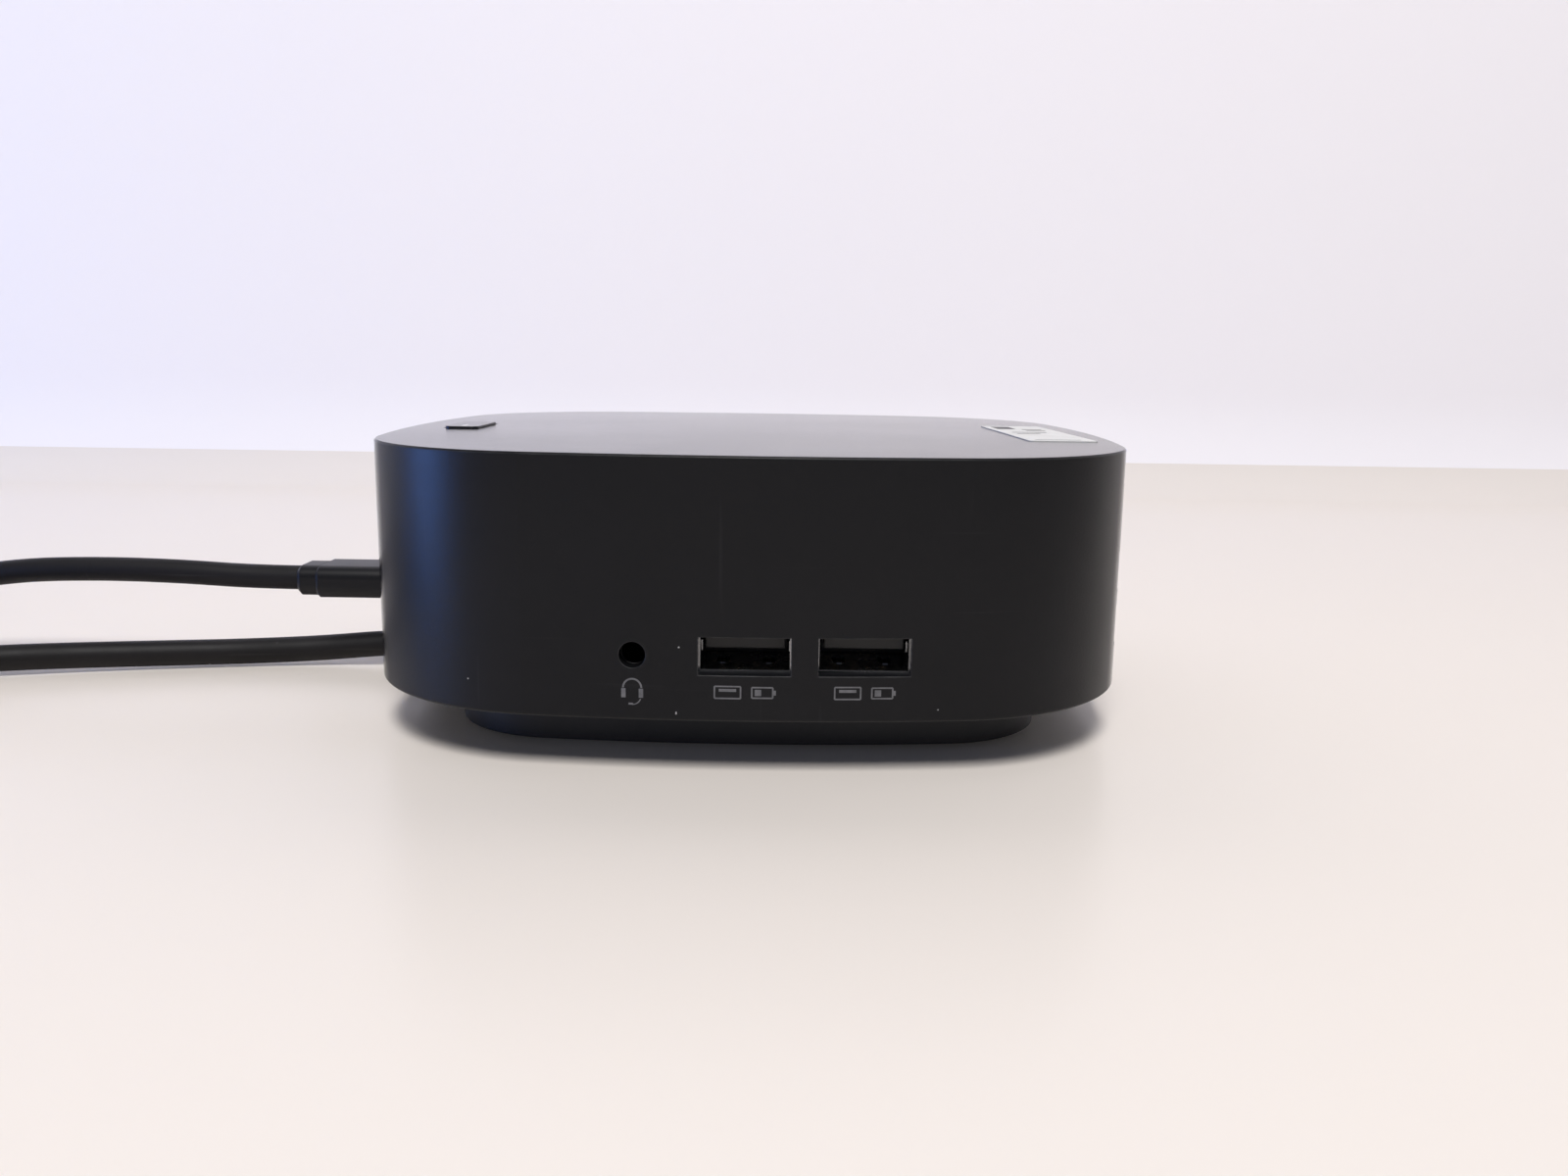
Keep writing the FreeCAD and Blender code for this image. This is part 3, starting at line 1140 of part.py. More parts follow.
def pipe(name, wire, diameter):
    """A round tube along a wire, with its volume set against section times length."""
    first = wire.Edges[0]
    start = first.valueAt(first.FirstParameter)
    direction = first.tangentAt(first.FirstParameter)
    circle = Part.Wire(Part.makeCircle(diameter / 2, start, direction))
    solid = Part.Wire(wire.Edges).makePipeShell([circle], True, False)
    ratio = solid.Volume / (math.pi * diameter ** 2 / 4 * wire.Length)
    print(f"{name}: length {wire.Length:.1f}, volume ratio {ratio:.4f}, valid {solid.isValid()}")
    return solid


def cord_tube(name, route, diameter):
    """Straight runs joined by tangent arcs, each as large as its two runs allow."""
    points = [Vector(*point) for point in route]
    edges = []
    radii = []
    last = points[0]
    for before, corner, after in zip(points, points[1:], points[2:]):
        back = (before - corner).normalize()
        ahead = (after - corner).normalize()
        half_turn = (math.pi - back.getAngle(ahead)) / 2
        setback = 0.45 * min((before - corner).Length, (after - corner).Length)
        radius = setback / math.tan(half_turn)
        radii.append(radius)
        enter = corner + back * setback
        leave = corner + ahead * setback
        inward = (back + ahead).normalize()
        middle = corner + inward * (radius / math.cos(half_turn) - radius)
        edges.append(Part.LineSegment(last, enter).toShape())
        edges.append(Part.Arc(enter, middle, leave).toShape())
        last = leave
    edges.append(Part.LineSegment(last, points[-1]).toShape())
    print(f"{name}: radii", " ".join(f"{radius:.0f}" for radius in radii))
    return pipe(name, Part.Wire(edges), diameter)


def arc_from(start, tangent, end):
    """The arc that leaves a point along a tangent and reaches another point."""
    chord = end - start
    along = Vector(chord).normalize()
    side = tangent - along * tangent.dot(along)
    bulge = chord.Length / 2 * math.tan(tangent.getAngle(along) / 2)
    middle = (start + end) * 0.5 + side.normalize() * bulge
    return Part.Arc(start, middle, end).toShape()


def biarc(start, start_tangent, end, end_tangent):
    """Two arcs that join two points along their tangents."""
    across = end - start
    both = start_tangent + end_tangent
    spread = 2 * (1 - start_tangent.dot(end_tangent))
    reach = (math.sqrt(across.dot(both) ** 2 + spread * across.dot(across)) - across.dot(both)) / spread
    meet = (start + end + (start_tangent - end_tangent) * reach) * 0.5
    meet_tangent = (meet - start - start_tangent * reach).normalize()
    return [arc_from(start, start_tangent, meet), arc_from(meet, meet_tangent, end)]


def coil_point(progress, centre, mean_radius, pitch, turns, turn_sign, low):
    """A point on two layers of turns: in on the lower one, out again on the upper one."""
    inward = min(progress, 2 * turns - progress)
    radius = mean_radius + pitch * (turns / 2 - inward)
    climb = min(max(2 * (progress - turns) + 0.5, 0.0), 1.0)
    rise = climb * climb * (3 - 2 * climb)
    angle = turn_sign * (math.pi / 2 + 2 * math.pi * progress)
    return Vector(centre[0] + radius * math.cos(angle), centre[1] + radius * math.sin(angle),
                  low + pitch * rise)


def coil_tube(name, start, mean_radius, pitch, turns, turn_sign, diameter):
    """A neat coil of two layers whose ends run straight, the way the cord comes in."""
    outer_radius = mean_radius + pitch * turns / 2
    low = diameter / 2 + FLOOR_GAP
    centre = (start[0], start[1] - turn_sign * outer_radius)

    def at(progress):
        return coil_point(progress, centre, mean_radius, pitch, turns, turn_sign, low)

    quarters = 8 * turns
    points = [at(index / 4) for index in range(quarters + 1)]
    step = 0.001
    tangents = [(at(index / 4 + step) - at(index / 4 - step)).normalize()
                for index in range(1, quarters)]
    away = Vector(-1, 0, 0)
    tangents = [away] + tangents + [away]
    edges = [Part.LineSegment(points[0] - away * diameter, points[0]).toShape()]
    for index in range(quarters):
        edges += biarc(points[index], tangents[index], points[index + 1], tangents[index + 1])
    edges.append(Part.LineSegment(points[-1], points[-1] + away * diameter).toShape())
    wire = Part.Wire(edges)
    print(f"{name}: least gap to itself {coil_gap(wire, diameter):.2f}")
    return pipe(name, wire, diameter)


def coil_gap(wire, diameter):
    """The least gap between turns, measured on points along the path."""
    samples = []
    run = 0.0
    for edge in wire.Edges:
        count = max(2, int(edge.Length / 1.5))
        points = edge.discretize(count + 1)[:-1]
        samples += [(run + edge.Length * index / count, point) for index, point in enumerate(points)]
        run += edge.Length
    least = 1e9
    for index, (place, point) in enumerate(samples):
        for other_place, other in samples[index + 1:]:
            if other_place - place > 6 * diameter:
                least = min(least, point.distanceToPoint(other))
    return least - diameter


def host_cord():
    return cord_tube("host_cord", HOST_ROUTE, HOST_CORD_DIAMETER)


def host_cord_coil():
    return coil_tube("host_cord_coil", HOST_COIL_START, HOST_COIL_RADIUS, HOST_PITCH, HOST_COIL_TURNS,
                     1, HOST_CORD_DIAMETER)


def host_cord_tail():
    return cord_tube("host_cord_tail", HOST_TAIL_ROUTE, HOST_CORD_DIAMETER)


def device_cord():
    return cord_tube("device_cord", DEVICE_ROUTE, DEVICE_CORD_DIAMETER)


def device_cord_coil():
    return coil_tube("device_cord_coil", DEVICE_COIL_START, DEVICE_COIL_RADIUS, DEVICE_PITCH,
                     DEVICE_COIL_TURNS, -1, DEVICE_CORD_DIAMETER)


def device_cord_tail():
    return cord_tube("device_cord_tail", DEVICE_TAIL_ROUTE, DEVICE_CORD_DIAMETER)


# Plugs are drawn pointing along +X with the cord's end at the origin

def plug_collar():
    """The soft collar between the cord and the grip."""
    width, height = PLUG_COLLAR
    collar = bar((0, PLUG_COLLAR_LENGTH), width, height, PLUG_COLLAR_EDGE)
    rear_edges = [e for e in collar.Edges if max(v.X for v in e.Vertexes) < 0.01]
    return collar.makeChamfer(0.6, rear_edges)


def plug_grip():
    """The moulded grip, drawn in at its rear end."""
    width, height = PLUG_GRIP
    grip = bar((PLUG_COLLAR_LENGTH, PLUG_COLLAR_LENGTH + PLUG_GRIP_LENGTH), width, height, PLUG_GRIP_EDGE)
    rear_edges = [e for e in grip.Edges if max(v.X for v in e.Vertexes) < PLUG_COLLAR_LENGTH + 0.01]
    return grip.makeChamfer(0.4, rear_edges)


def plug_shell():
    """The metal tongue sleeve of the plug, open at its tip."""
    start = PLUG_COLLAR_LENGTH + PLUG_GRIP_LENGTH
    width, height = PLUG_SHELL
    outer = stadium(width, height, (start, start + PLUG_SHELL_LENGTH))
    inner = stadium(width - 2 * PLUG_SHEET, height - 2 * PLUG_SHEET,
                    (start + 0.6, start + PLUG_SHELL_LENGTH + 1))
    return outer.cut(inner)


def device_plug(piece):
    """Put a plug piece in the left socket."""
    return piece.translated(Vector(DEVICE_EXIT_X, USB_C_Y, DEVICE_PLUG_Z))


def lying_plug(piece, route):
    """Lay a plug piece at the end of a route, pointing away from the dock."""
    piece.rotate(Vector(0, 0, 0), Vector(0, 0, 1), 180)
    return piece.translated(Vector(*route[-1]))


def lying_plug_grip(route):
    """Grip and collar of a plug that lies on the table, moulded in one."""
    return lying_plug(joined([plug_collar(), plug_grip()]), route)


NODES = {
    "top_shell": top_shell,
    "bottom_cover": bottom_cover,
    "foot_plinth": foot_plinth,
    "rubber_foot_ring": rubber_foot_ring,
    "steel_weight_plate": steel_weight_plate,
    "case_screws": case_screws,
    "main_board": main_board,
    "board_screws": board_screws,
    "controller_chips": controller_chips,
    "shield_can": shield_can,
    "thermal_pads": thermal_pads,
    "heat_sink": heat_sink,
    "power_inductors": power_inductors,
    "capacitors": capacitors,
    "front_usb_a_shells": front_usb_a_shells,
    "front_usb_a_tongues": front_usb_a_tongues,
    "front_usb_a_contacts": front_usb_a_contacts,
    "headset_jack": headset_jack,
    "headset_jack_contacts": headset_jack_contacts,
    "side_usb_c_shell": side_usb_c_shell,
    "side_usb_c_tongue": side_usb_c_tongue,
    "rear_usb_a_shell": rear_usb_a_shell,
    "rear_usb_a_tongues": rear_usb_a_tongues,
    "hdmi_shell": hdmi_shell,
    "hdmi_tongue": hdmi_tongue,
    "display_port_shell": display_port_shell,
    "display_port_tongues": display_port_tongues,
    "network_jack_shield": network_jack_shield,
    "network_jack_housing": network_jack_housing,
    "network_jack_contacts": network_jack_contacts,
    "power_jack_housing": power_jack_housing,
    "power_jack_pin": power_jack_pin,
    "rear_port_bracket": rear_port_bracket,
    "lock_plate": lock_plate,
    "power_button_cap": power_button_cap,
    "button_light_guide": button_light_guide,
    "button_plunger": button_plunger,
    "button_switch": button_switch,
    "button_board": button_board,
    "button_board_screws": button_board_screws,
    "button_flex": button_flex,
    "flex_connector": flex_connector,
    "blank_label": blank_label,
    "cable_gland": cable_gland,
    "host_cable_inner_lead": host_cable_inner_lead,
    "host_cable_header": host_cable_header,
    "host_cord": host_cord,
    "host_cord_coil": host_cord_coil,
    "host_cord_tail": host_cord_tail,
    "host_plug_grip": lambda: lying_plug_grip(HOST_TAIL_ROUTE),
    "host_plug_shell": lambda: lying_plug(plug_shell(), HOST_TAIL_ROUTE),
    "device_plug_collar": lambda: device_plug(plug_collar()),
    "device_plug_grip": lambda: device_plug(plug_grip()),
    "device_plug_shell": lambda: device_plug(plug_shell()),
    "device_cord": device_cord,
    "device_cord_coil": device_cord_coil,
    "device_cord_tail": device_cord_tail,
    "far_plug_grip": lambda: lying_plug_grip(DEVICE_TAIL_ROUTE),
    "far_plug_shell": lambda: lying_plug(plug_shell(), DEVICE_TAIL_ROUTE),
}

os.makedirs("parts", exist_ok=True)
for node_name, build in NODES.items():
    build().exportStep(f"parts/{node_name}.step")
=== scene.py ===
import bpy
import math
from mathutils import Matrix, Vector


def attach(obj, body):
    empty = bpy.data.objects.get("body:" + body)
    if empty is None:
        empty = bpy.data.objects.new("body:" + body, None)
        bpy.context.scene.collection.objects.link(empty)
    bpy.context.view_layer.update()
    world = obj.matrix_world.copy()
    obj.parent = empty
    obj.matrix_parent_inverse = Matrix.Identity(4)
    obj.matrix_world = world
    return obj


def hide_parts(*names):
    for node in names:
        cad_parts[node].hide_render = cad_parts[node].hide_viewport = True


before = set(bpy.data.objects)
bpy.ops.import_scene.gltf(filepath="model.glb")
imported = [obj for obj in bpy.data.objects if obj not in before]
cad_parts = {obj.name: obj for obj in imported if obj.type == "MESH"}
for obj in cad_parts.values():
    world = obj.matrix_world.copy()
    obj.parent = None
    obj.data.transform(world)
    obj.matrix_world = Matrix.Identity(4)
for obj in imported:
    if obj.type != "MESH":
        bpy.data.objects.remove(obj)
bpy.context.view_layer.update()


# The table, the pale backdrop behind it, the lamps and the camera. None of them is part of the
# dock. The floor is a polished pale laminate that sweeps up into the backdrop.

FLOOR_COLOUR = (0.835, 0.775, 0.720)
BACKDROP_COLOUR = (0.80, 0.77, 0.79)
FLOOR_FRONT_Y = -1.2
WALL_Y = 0.34
WALL_TOP_Z = 1.1
SWEEP_RADIUS = 0.045
SWEEP_STEPS = 12
STAGE_HALF_WIDTH = 1.6
AIR_COLOUR = (0.70, 0.77, 1.0)
AIR_STRENGTH = 0.12
CAMERA_PLACE = (0.00548, -0.23028, 0.05863)
CAMERA_PITCH = math.radians(10.497)
CAMERA_ROLL = math.radians(0.862)
CAMERA_LENS = 29.25
CAMERA_FILM_WIDTH = 36.0


def shader_material(name, colour, roughness, metallic=0.0, specular=0.5):
    material = bpy.data.materials.new(name)
    material.use_nodes = True
    shader = material.node_tree.nodes["Principled BSDF"]
    shader.inputs["Base Color"].default_value = (*colour, 1.0)
    shader.inputs["Roughness"].default_value = roughness
    shader.inputs["Metallic"].default_value = metallic
    shader.inputs["Specular IOR Level"].default_value = specular
    return material, material.node_tree, shader


def add_object(name, data):
    piece = bpy.data.objects.new(name, data)
    bpy.context.scene.collection.objects.link(piece)
    return piece


def mesh_piece(name, points, faces, material, smooth=False):
    mesh = bpy.data.meshes.new(name)
    mesh.from_pydata([tuple(point) for point in points], [], faces)
    mesh.materials.append(material)
    for polygon in mesh.polygons:
        polygon.use_smooth = smooth
    mesh.update()
    return add_object(name, mesh)


def stage_material(name, colour, roughness, glow):
    """Pale stage paint, clear from its back, so that the dock shows from behind and below too."""
    material, tree, shader = shader_material(name, colour, roughness, specular=0.25)
    shader.inputs["Emission Color"].default_value = (*colour, 1.0)
    shader.inputs["Emission Strength"].default_value = glow
    clear = tree.nodes.new("ShaderNodeBsdfTransparent")
    blend = tree.nodes.new("ShaderNodeMixShader")
    behind = tree.nodes.new("ShaderNodeNewGeometry")
    tree.links.new(behind.outputs["Backfacing"], blend.inputs[0])
    tree.links.new(shader.outputs[0], blend.inputs[1])
    tree.links.new(clear.outputs[0], blend.inputs[2])
    tree.links.new(blend.outputs[0], tree.nodes["Material Output"].inputs["Surface"])
    return material


def build_stage():
    """Floor, sweep and wall in one sheet, given by its side profile from front to top."""
    sweep_start = WALL_Y - SWEEP_RADIUS
    profile = [(FLOOR_FRONT_Y, 0.0), (sweep_start, 0.0)]
    for step in range(1, SWEEP_STEPS + 1):
        turn = step / SWEEP_STEPS * math.pi / 2
        profile.append((sweep_start + SWEEP_RADIUS * math.sin(turn),
                        SWEEP_RADIUS - SWEEP_RADIUS * math.cos(turn)))
    profile.append((WALL_Y, WALL_TOP_Z))
    points = [(side * STAGE_HALF_WIDTH, y, z) for y, z in profile for side in (-1, 1)]
    faces = [(2 * i, 2 * i + 1, 2 * i + 3, 2 * i + 2) for i in range(len(profile) - 1)]
    floor_paint = stage_material("stage_floor_paint", FLOOR_COLOUR, roughness=0.28, glow=0.02)
    wall_paint = stage_material("stage_wall_paint", BACKDROP_COLOUR, roughness=0.6, glow=0.19)
    sweep = mesh_piece("stage_sweep", points, faces, floor_paint, smooth=True)
    sweep.data.materials.append(wall_paint)
    first_wall_strip = SWEEP_STEPS // 2 + 1
    for polygon in sweep.data.polygons:
        polygon.material_index = 1 if polygon.index >= first_wall_strip else 0


def add_lamp(name, place, aim, size, power, colour):
    """A rectangular lamp at one place, turned towards another; power is in watts."""
    lamp = bpy.data.lights.new(name, "AREA")
    lamp.shape = "RECTANGLE"
    lamp.size, lamp.size_y = size
    lamp.energy = power
    lamp.color = colour
    holder = add_object(name, lamp)
    holder.location = place
    holder.rotation_euler = (Vector(aim) - Vector(place)).to_track_quat("-Z", "Y").to_euler()


build_stage()
add_lamp("lamp_overhead", place=(0.0, -0.88, 1.33), aim=(0, 0, 0), size=(0.45, 0.62),
         power=22.0, colour=(1.0, 0.985, 0.965))
add_lamp("lamp_left_window", place=(-0.9, -0.16, 0.05), aim=(0, 0, 0.03), size=(0.3, 0.08),
         power=2.3, colour=(0.15, 0.34, 1.0))
add_lamp("lamp_right_room", place=(0.8, 0.35, 0.45), aim=(0, 0, 0.03), size=(0.4, 0.5),
         power=0.3, colour=(1.0, 0.93, 0.86))

world = bpy.data.worlds.new("studio_air")
world.use_nodes = True
air = world.node_tree.nodes["Background"]
air.inputs["Color"].default_value = (*AIR_COLOUR, 1.0)
air.inputs["Strength"].default_value = AIR_STRENGTH
bpy.context.scene.world = world

camera = bpy.data.cameras.new("camera")
camera.lens = CAMERA_LENS
camera.sensor_width = CAMERA_FILM_WIDTH
camera.clip_start = 0.01
camera_holder = add_object("camera", camera)
camera_holder.matrix_world = (Matrix.Translation(CAMERA_PLACE)
                              @ Matrix.Rotation(math.pi / 2 - CAMERA_PITCH, 4, "X")
                              @ Matrix.Rotation(CAMERA_ROLL, 4, "Z"))
bpy.context.scene.camera = camera_holder
bpy.context.scene.view_settings.view_transform = "Standard"


# The foot: a glued black rubber band under a drawn-in plastic tray. The tray holds a steel plate
# that keeps the dock from sliding, and four long screws go up through it and the bottom cover.

SHARP_ANGLE = math.radians(30.0)
DUST_COLOUR = (0.30, 0.30, 0.31)
TONE_LIGHTER = 1.35
TONE_DARKER = 0.78


def mix_colour(tree, mask, under, over):
    """The colour under, covered by the colour over where the mask is 1."""
    mix = tree.nodes.new("ShaderNodeMix")
    mix.data_type = "RGBA"
    tree.links.new(mask, mix.inputs[0])
    for index, colour in ((6, under), (7, over)):
        if isinstance(colour, bpy.types.NodeSocket):
            tree.links.new(colour, mix.inputs[index])
        else:
            mix.inputs[index].default_value = (*colour, 1.0)
    return mix.outputs[2]


def ramp_value(tree, value, low, high, from_low=0.0, from_high=1.0):
    """A value between from_low and from_high, stretched to run from low to high."""
    node = tree.nodes.new("ShaderNodeMapRange")
    tree.links.new(value, node.inputs["Value"])
    node.inputs["From Min"].default_value = from_low
    node.inputs["From Max"].default_value = from_high
    node.inputs["To Min"].default_value = low
    node.inputs["To Max"].default_value = high
    return node.outputs["Result"]


def noise_node(tree, vector, scale, detail, roughness=0.5):
    noise = tree.nodes.new("ShaderNodeTexNoise")
    tree.links.new(vector, noise.inputs["Vector"])
    if isinstance(scale, bpy.types.NodeSocket):
        tree.links.new(scale, noise.inputs["Scale"])
    else:
        noise.inputs["Scale"].default_value = scale
    noise.inputs["Detail"].default_value = detail
    noise.inputs["Roughness"].default_value = roughness
    return noise.outputs["Fac"]


def math_node(tree, operation, first, second):
    node = tree.nodes.new("ShaderNodeMath")
    node.operation = operation
    tree.links.new(first, node.inputs[0])
    tree.links.new(second, node.inputs[1])
    return node.outputs[0]


def object_place(tree):
    return tree.nodes.new("ShaderNodeTexCoord").outputs["Object"]


def new_group(name, inputs, outputs):
    """An empty shader group: its inputs are numbers with their usual values."""
    group = bpy.data.node_groups.new(name, "ShaderNodeTree")
    for socket, value in inputs.items():
        item = group.interface.new_socket(socket, in_out="INPUT", socket_type="NodeSocketFloat")
        item.default_value = value
    for socket, kind in outputs.items():
        group.interface.new_socket(socket, in_out="OUTPUT", socket_type=kind)
    return group, group.nodes.new("NodeGroupInput"), group.nodes.new("NodeGroupOutput")


def make_moulded_grain():
    """Spark-eroded mould texture: a fine pitted height, and slow patches that hands polish."""
    group, entry, leave = new_group("moulded_grain", {"Grain": 2600.0, "Patch": 28.0},
                                    {"Height": "NodeSocketFloat", "Tone": "NodeSocketFloat"})
    place = object_place(group)
    fine = noise_node(group, place, entry.outputs["Grain"], detail=3.0, roughness=0.6)
    slow = noise_node(group, place, entry.outputs["Patch"], detail=4.0, roughness=0.55)
    tone = ramp_value(group, slow, 0.0, 1.0, from_low=0.3, from_high=0.7)
    group.links.new(fine, leave.inputs["Height"])
    group.links.new(tone, leave.inputs["Tone"])
    return group


def make_edge_wear_and_highlight():
    """Rounded-over corners: a softened normal near every edge, and a mask for rubbed wear and a
    painted highlight there.
    """
    group, entry, leave = new_group("edge_wear_and_highlight", {"Radius": 0.0003},
                                    {"Mask": "NodeSocketFloat", "Normal": "NodeSocketVector"})
    bevel = group.nodes.new("ShaderNodeBevel")
    bevel.samples = 6
    group.links.new(entry.outputs["Radius"], bevel.inputs["Radius"])
    turned = group.nodes.new("ShaderNodeVectorMath")
    turned.operation = "DOT_PRODUCT"
    group.links.new(bevel.outputs["Normal"], turned.inputs[0])
    flat = group.nodes.new("ShaderNodeNewGeometry")
    group.links.new(flat.outputs["Normal"], turned.inputs[1])
    edge = ramp_value(group, turned.outputs["Value"], 1.0, 0.0, from_low=0.90, from_high=0.995)
    spots = noise_node(group, object_place(group), scale=420.0, detail=3.0)
    patchy = ramp_value(group, spots, 0.25, 1.0, from_low=0.35, from_high=0.62)
    group.links.new(math_node(group, "MULTIPLY", edge, patchy), leave.inputs["Mask"])
    group.links.new(bevel.outputs["Normal"], leave.inputs["Normal"])
    return group


def make_hairlines():
    """Fine scratches from cleaning and from plugs that missed: broken lines in two directions."""
    group, entry, leave = new_group("hairlines", {"Amount": 0.5}, {"Mask": "NodeSocketFloat"})
    place = object_place(group)
    lines = []
    for stretch, turn in (((26.0, 26.0, 900.0), 0.12), ((700.0, 700.0, 40.0), -0.3)):
        lay = group.nodes.new("ShaderNodeMapping")
        lay.inputs["Scale"].default_value = stretch
        lay.inputs["Rotation"].default_value = (turn, turn, turn)
        group.links.new(place, lay.inputs["Vector"])
        streaks = noise_node(group, lay.outputs["Vector"], scale=1.0, detail=1.0)
        lines.append(ramp_value(group, streaks, 0.0, 1.0, from_low=0.73, from_high=0.80))
    either = math_node(group, "MAXIMUM", *lines)
    group.links.new(math_node(group, "MULTIPLY", either, entry.outputs["Amount"]),
                    leave.inputs["Mask"])
    return group


def make_dust():
    """Sparse pale specks and lint, a few to the square centimetre."""
    group, entry, leave = new_group("dust", {"Cells": 160.0, "Share": 0.06, "Speck": 0.07},
                                    {"Mask": "NodeSocketFloat"})
    cells = group.nodes.new("ShaderNodeTexVoronoi")
    group.links.new(object_place(group), cells.inputs["Vector"])
    group.links.new(entry.outputs["Cells"], cells.inputs["Scale"])
    chance = group.nodes.new("ShaderNodeSeparateColor")
    group.links.new(cells.outputs["Color"], chance.inputs["Color"])
    chosen = math_node(group, "LESS_THAN", chance.outputs["Red"], entry.outputs["Share"])
    reach = math_node(group, "MULTIPLY", chance.outputs["Green"], entry.outputs["Speck"])
    near = math_node(group, "LESS_THAN", cells.outputs["Distance"], reach)
    group.links.new(math_node(group, "MULTIPLY", chosen, near), leave.inputs["Mask"])
    return group


GRAIN = make_moulded_grain()
EDGE_WEAR_AND_HIGHLIGHT = make_edge_wear_and_highlight()
HAIRLINES = make_hairlines()
DUST = make_dust()


def place_group(tree, group, **values):
    node = tree.nodes.new("ShaderNodeGroup")
    node.node_tree = group
    for socket, value in values.items():
        node.inputs[socket].default_value = value
    return node


def press_in(tree, shader, height, distance, normal=None):
    """Bump the surface by a height, over another normal where one is given."""
    bump = tree.nodes.new("ShaderNodeBump")
    bump.inputs["Distance"].default_value = distance
    tree.links.new(height, bump.inputs["Height"])
    if normal:
        tree.links.new(normal, bump.inputs["Normal"])
    tree.links.new(bump.outputs["Normal"], shader.inputs["Normal"])


def moulded_plastic(name, colour, worn_and_highlight, roughness, grain=2600.0, depth=0.00002, dust_share=0.05,
                    patch=28.0, specular=0.5, skim=1.0, scratches=0.4, edge=0.0003):
    """Textured plastic: grain, polished patches, rubbed edges with a painted highlight, hairlines
    and a little dust.

    Skim is the share of the roughness left where the surface is seen almost edge-on."""
    material, tree, shader = shader_material(name, colour, roughness, specular=specular)
    texture = place_group(tree, GRAIN, Grain=grain, Patch=patch)
    edge_wear_and_highlight_node = place_group(tree, EDGE_WEAR_AND_HIGHLIGHT, Radius=edge)
    lines = place_group(tree, HAIRLINES, Amount=scratches)
    dust = place_group(tree, DUST, Share=dust_share)
    lighter = tuple(channel * TONE_LIGHTER for channel in colour)
    tone = mix_colour(tree, texture.outputs["Tone"], colour, lighter)
    scratched = mix_colour(tree, lines.outputs["Mask"], tone, worn_and_highlight)
    # The edges take the paler colour: rubbed wear, and a painted highlight where an edge would
    # catch the light.
    with_worn_and_lit_edges = mix_colour(tree, ramp_value(tree, edge_wear_and_highlight_node.outputs["Mask"], 0.0, 0.7), scratched, worn_and_highlight)
    dusty = mix_colour(tree, dust.outputs["Mask"], with_worn_and_lit_edges, DUST_COLOUR)
    tree.links.new(dusty, shader.inputs["Base Color"])
    polish = ramp_value(tree, texture.outputs["Tone"], roughness + 0.05, roughness - 0.06)
    facing = tree.nodes.new("ShaderNodeLayerWeight")
    facing.inputs["Blend"].default_value = 0.5
    skimmed = ramp_value(tree, facing.outputs["Facing"], 1.0, skim, from_low=0.78, from_high=0.95)
    tree.links.new(math_node(tree, "MULTIPLY", polish, skimmed), shader.inputs["Roughness"])
    press_in(tree, shader, texture.outputs["Height"], depth, edge_wear_and_highlight_node.outputs["Normal"])
    return material


def metal(name, colour, roughness, brush, scale=900.0):
    """Plated or drawn metal with fine handling marks and slightly uneven polish."""
    material, tree, shader = shader_material(name, colour, roughness, metallic=1.0)
    texture = place_group(tree, GRAIN, Grain=scale, Patch=220.0)
    darker = tuple(channel * TONE_DARKER for channel in colour)
    tone = mix_colour(tree, texture.outputs["Tone"], colour, darker)
    tree.links.new(tone, shader.inputs["Base Color"])
    polish = ramp_value(tree, texture.outputs["Tone"], roughness - 0.05, roughness + 0.12)
    tree.links.new(polish, shader.inputs["Roughness"])
    press_in(tree, shader, texture.outputs["Height"], brush)
    return material


def dress(node, material):
    """Give a CAD node its finish, with soft shading across its curved faces."""
    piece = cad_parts[node]
    piece.data.materials.clear()
    piece.data.materials.append(material)
    piece.data.shade_smooth()
    piece.data.set_sharp_from_angle(angle=SHARP_ANGLE)


foot_rubber = moulded_plastic("foot_rubber", (0.009, 0.009, 0.010), (0.03, 0.03, 0.032),
                              roughness=0.82, grain=1500.0, depth=0.00005, dust_share=0.16)
foot_moulding = moulded_plastic("foot_moulding", (0.0095, 0.0105, 0.0140), (0.026, 0.027, 0.031),
                                roughness=0.50, specular=0.45)
zinc_plate = metal("zinc_plate", (0.50, 0.51, 0.53), roughness=0.38, brush=0.00001)
screw_zinc = metal("screw_zinc", (0.56, 0.56, 0.58), roughness=0.30, brush=0.00001, scale=2500.0)
dress("rubber_foot_ring", foot_rubber)
dress("foot_plinth", foot_moulding)
dress("steel_weight_plate", zinc_plate)
dress("case_screws", screw_zinc)
dress("bottom_cover", foot_moulding)


# The main board: green glass laminate screwed to five standoffs, with its chips under a tin-plated
# can, soft pads, an aluminium heat sink, and the coils and capacitors of its power supply.

MASK_GREEN = (0.010, 0.075, 0.040)
MASK_GREEN_LIGHTER = (0.012, 0.088, 0.048)
TRACK_GREEN = (0.035, 0.16, 0.085)


def laminate(name):
    """Green solder mask over copper tracks, which show as paler lines."""
    material, tree, shader = shader_material(name, MASK_GREEN, roughness=0.32)
    tracks = tree.nodes.new("ShaderNodeTexBrick")
    tree.links.new(object_place(tree), tracks.inputs["Vector"])
    tracks.inputs["Scale"].default_value = 260.0
    tracks.inputs["Mortar Size"].default_value = 0.045
    tracks.inputs["Color1"].default_value = (*MASK_GREEN, 1.0)
    tracks.inputs["Color2"].default_value = (*MASK_GREEN_LIGHTER, 1.0)
    tracks.inputs["Mortar"].default_value = (*TRACK_GREEN, 1.0)
    tree.links.new(tracks.outputs["Color"], shader.inputs["Base Color"])
    press_in(tree, shader, tracks.outputs["Fac"], distance=0.00003)
    return material


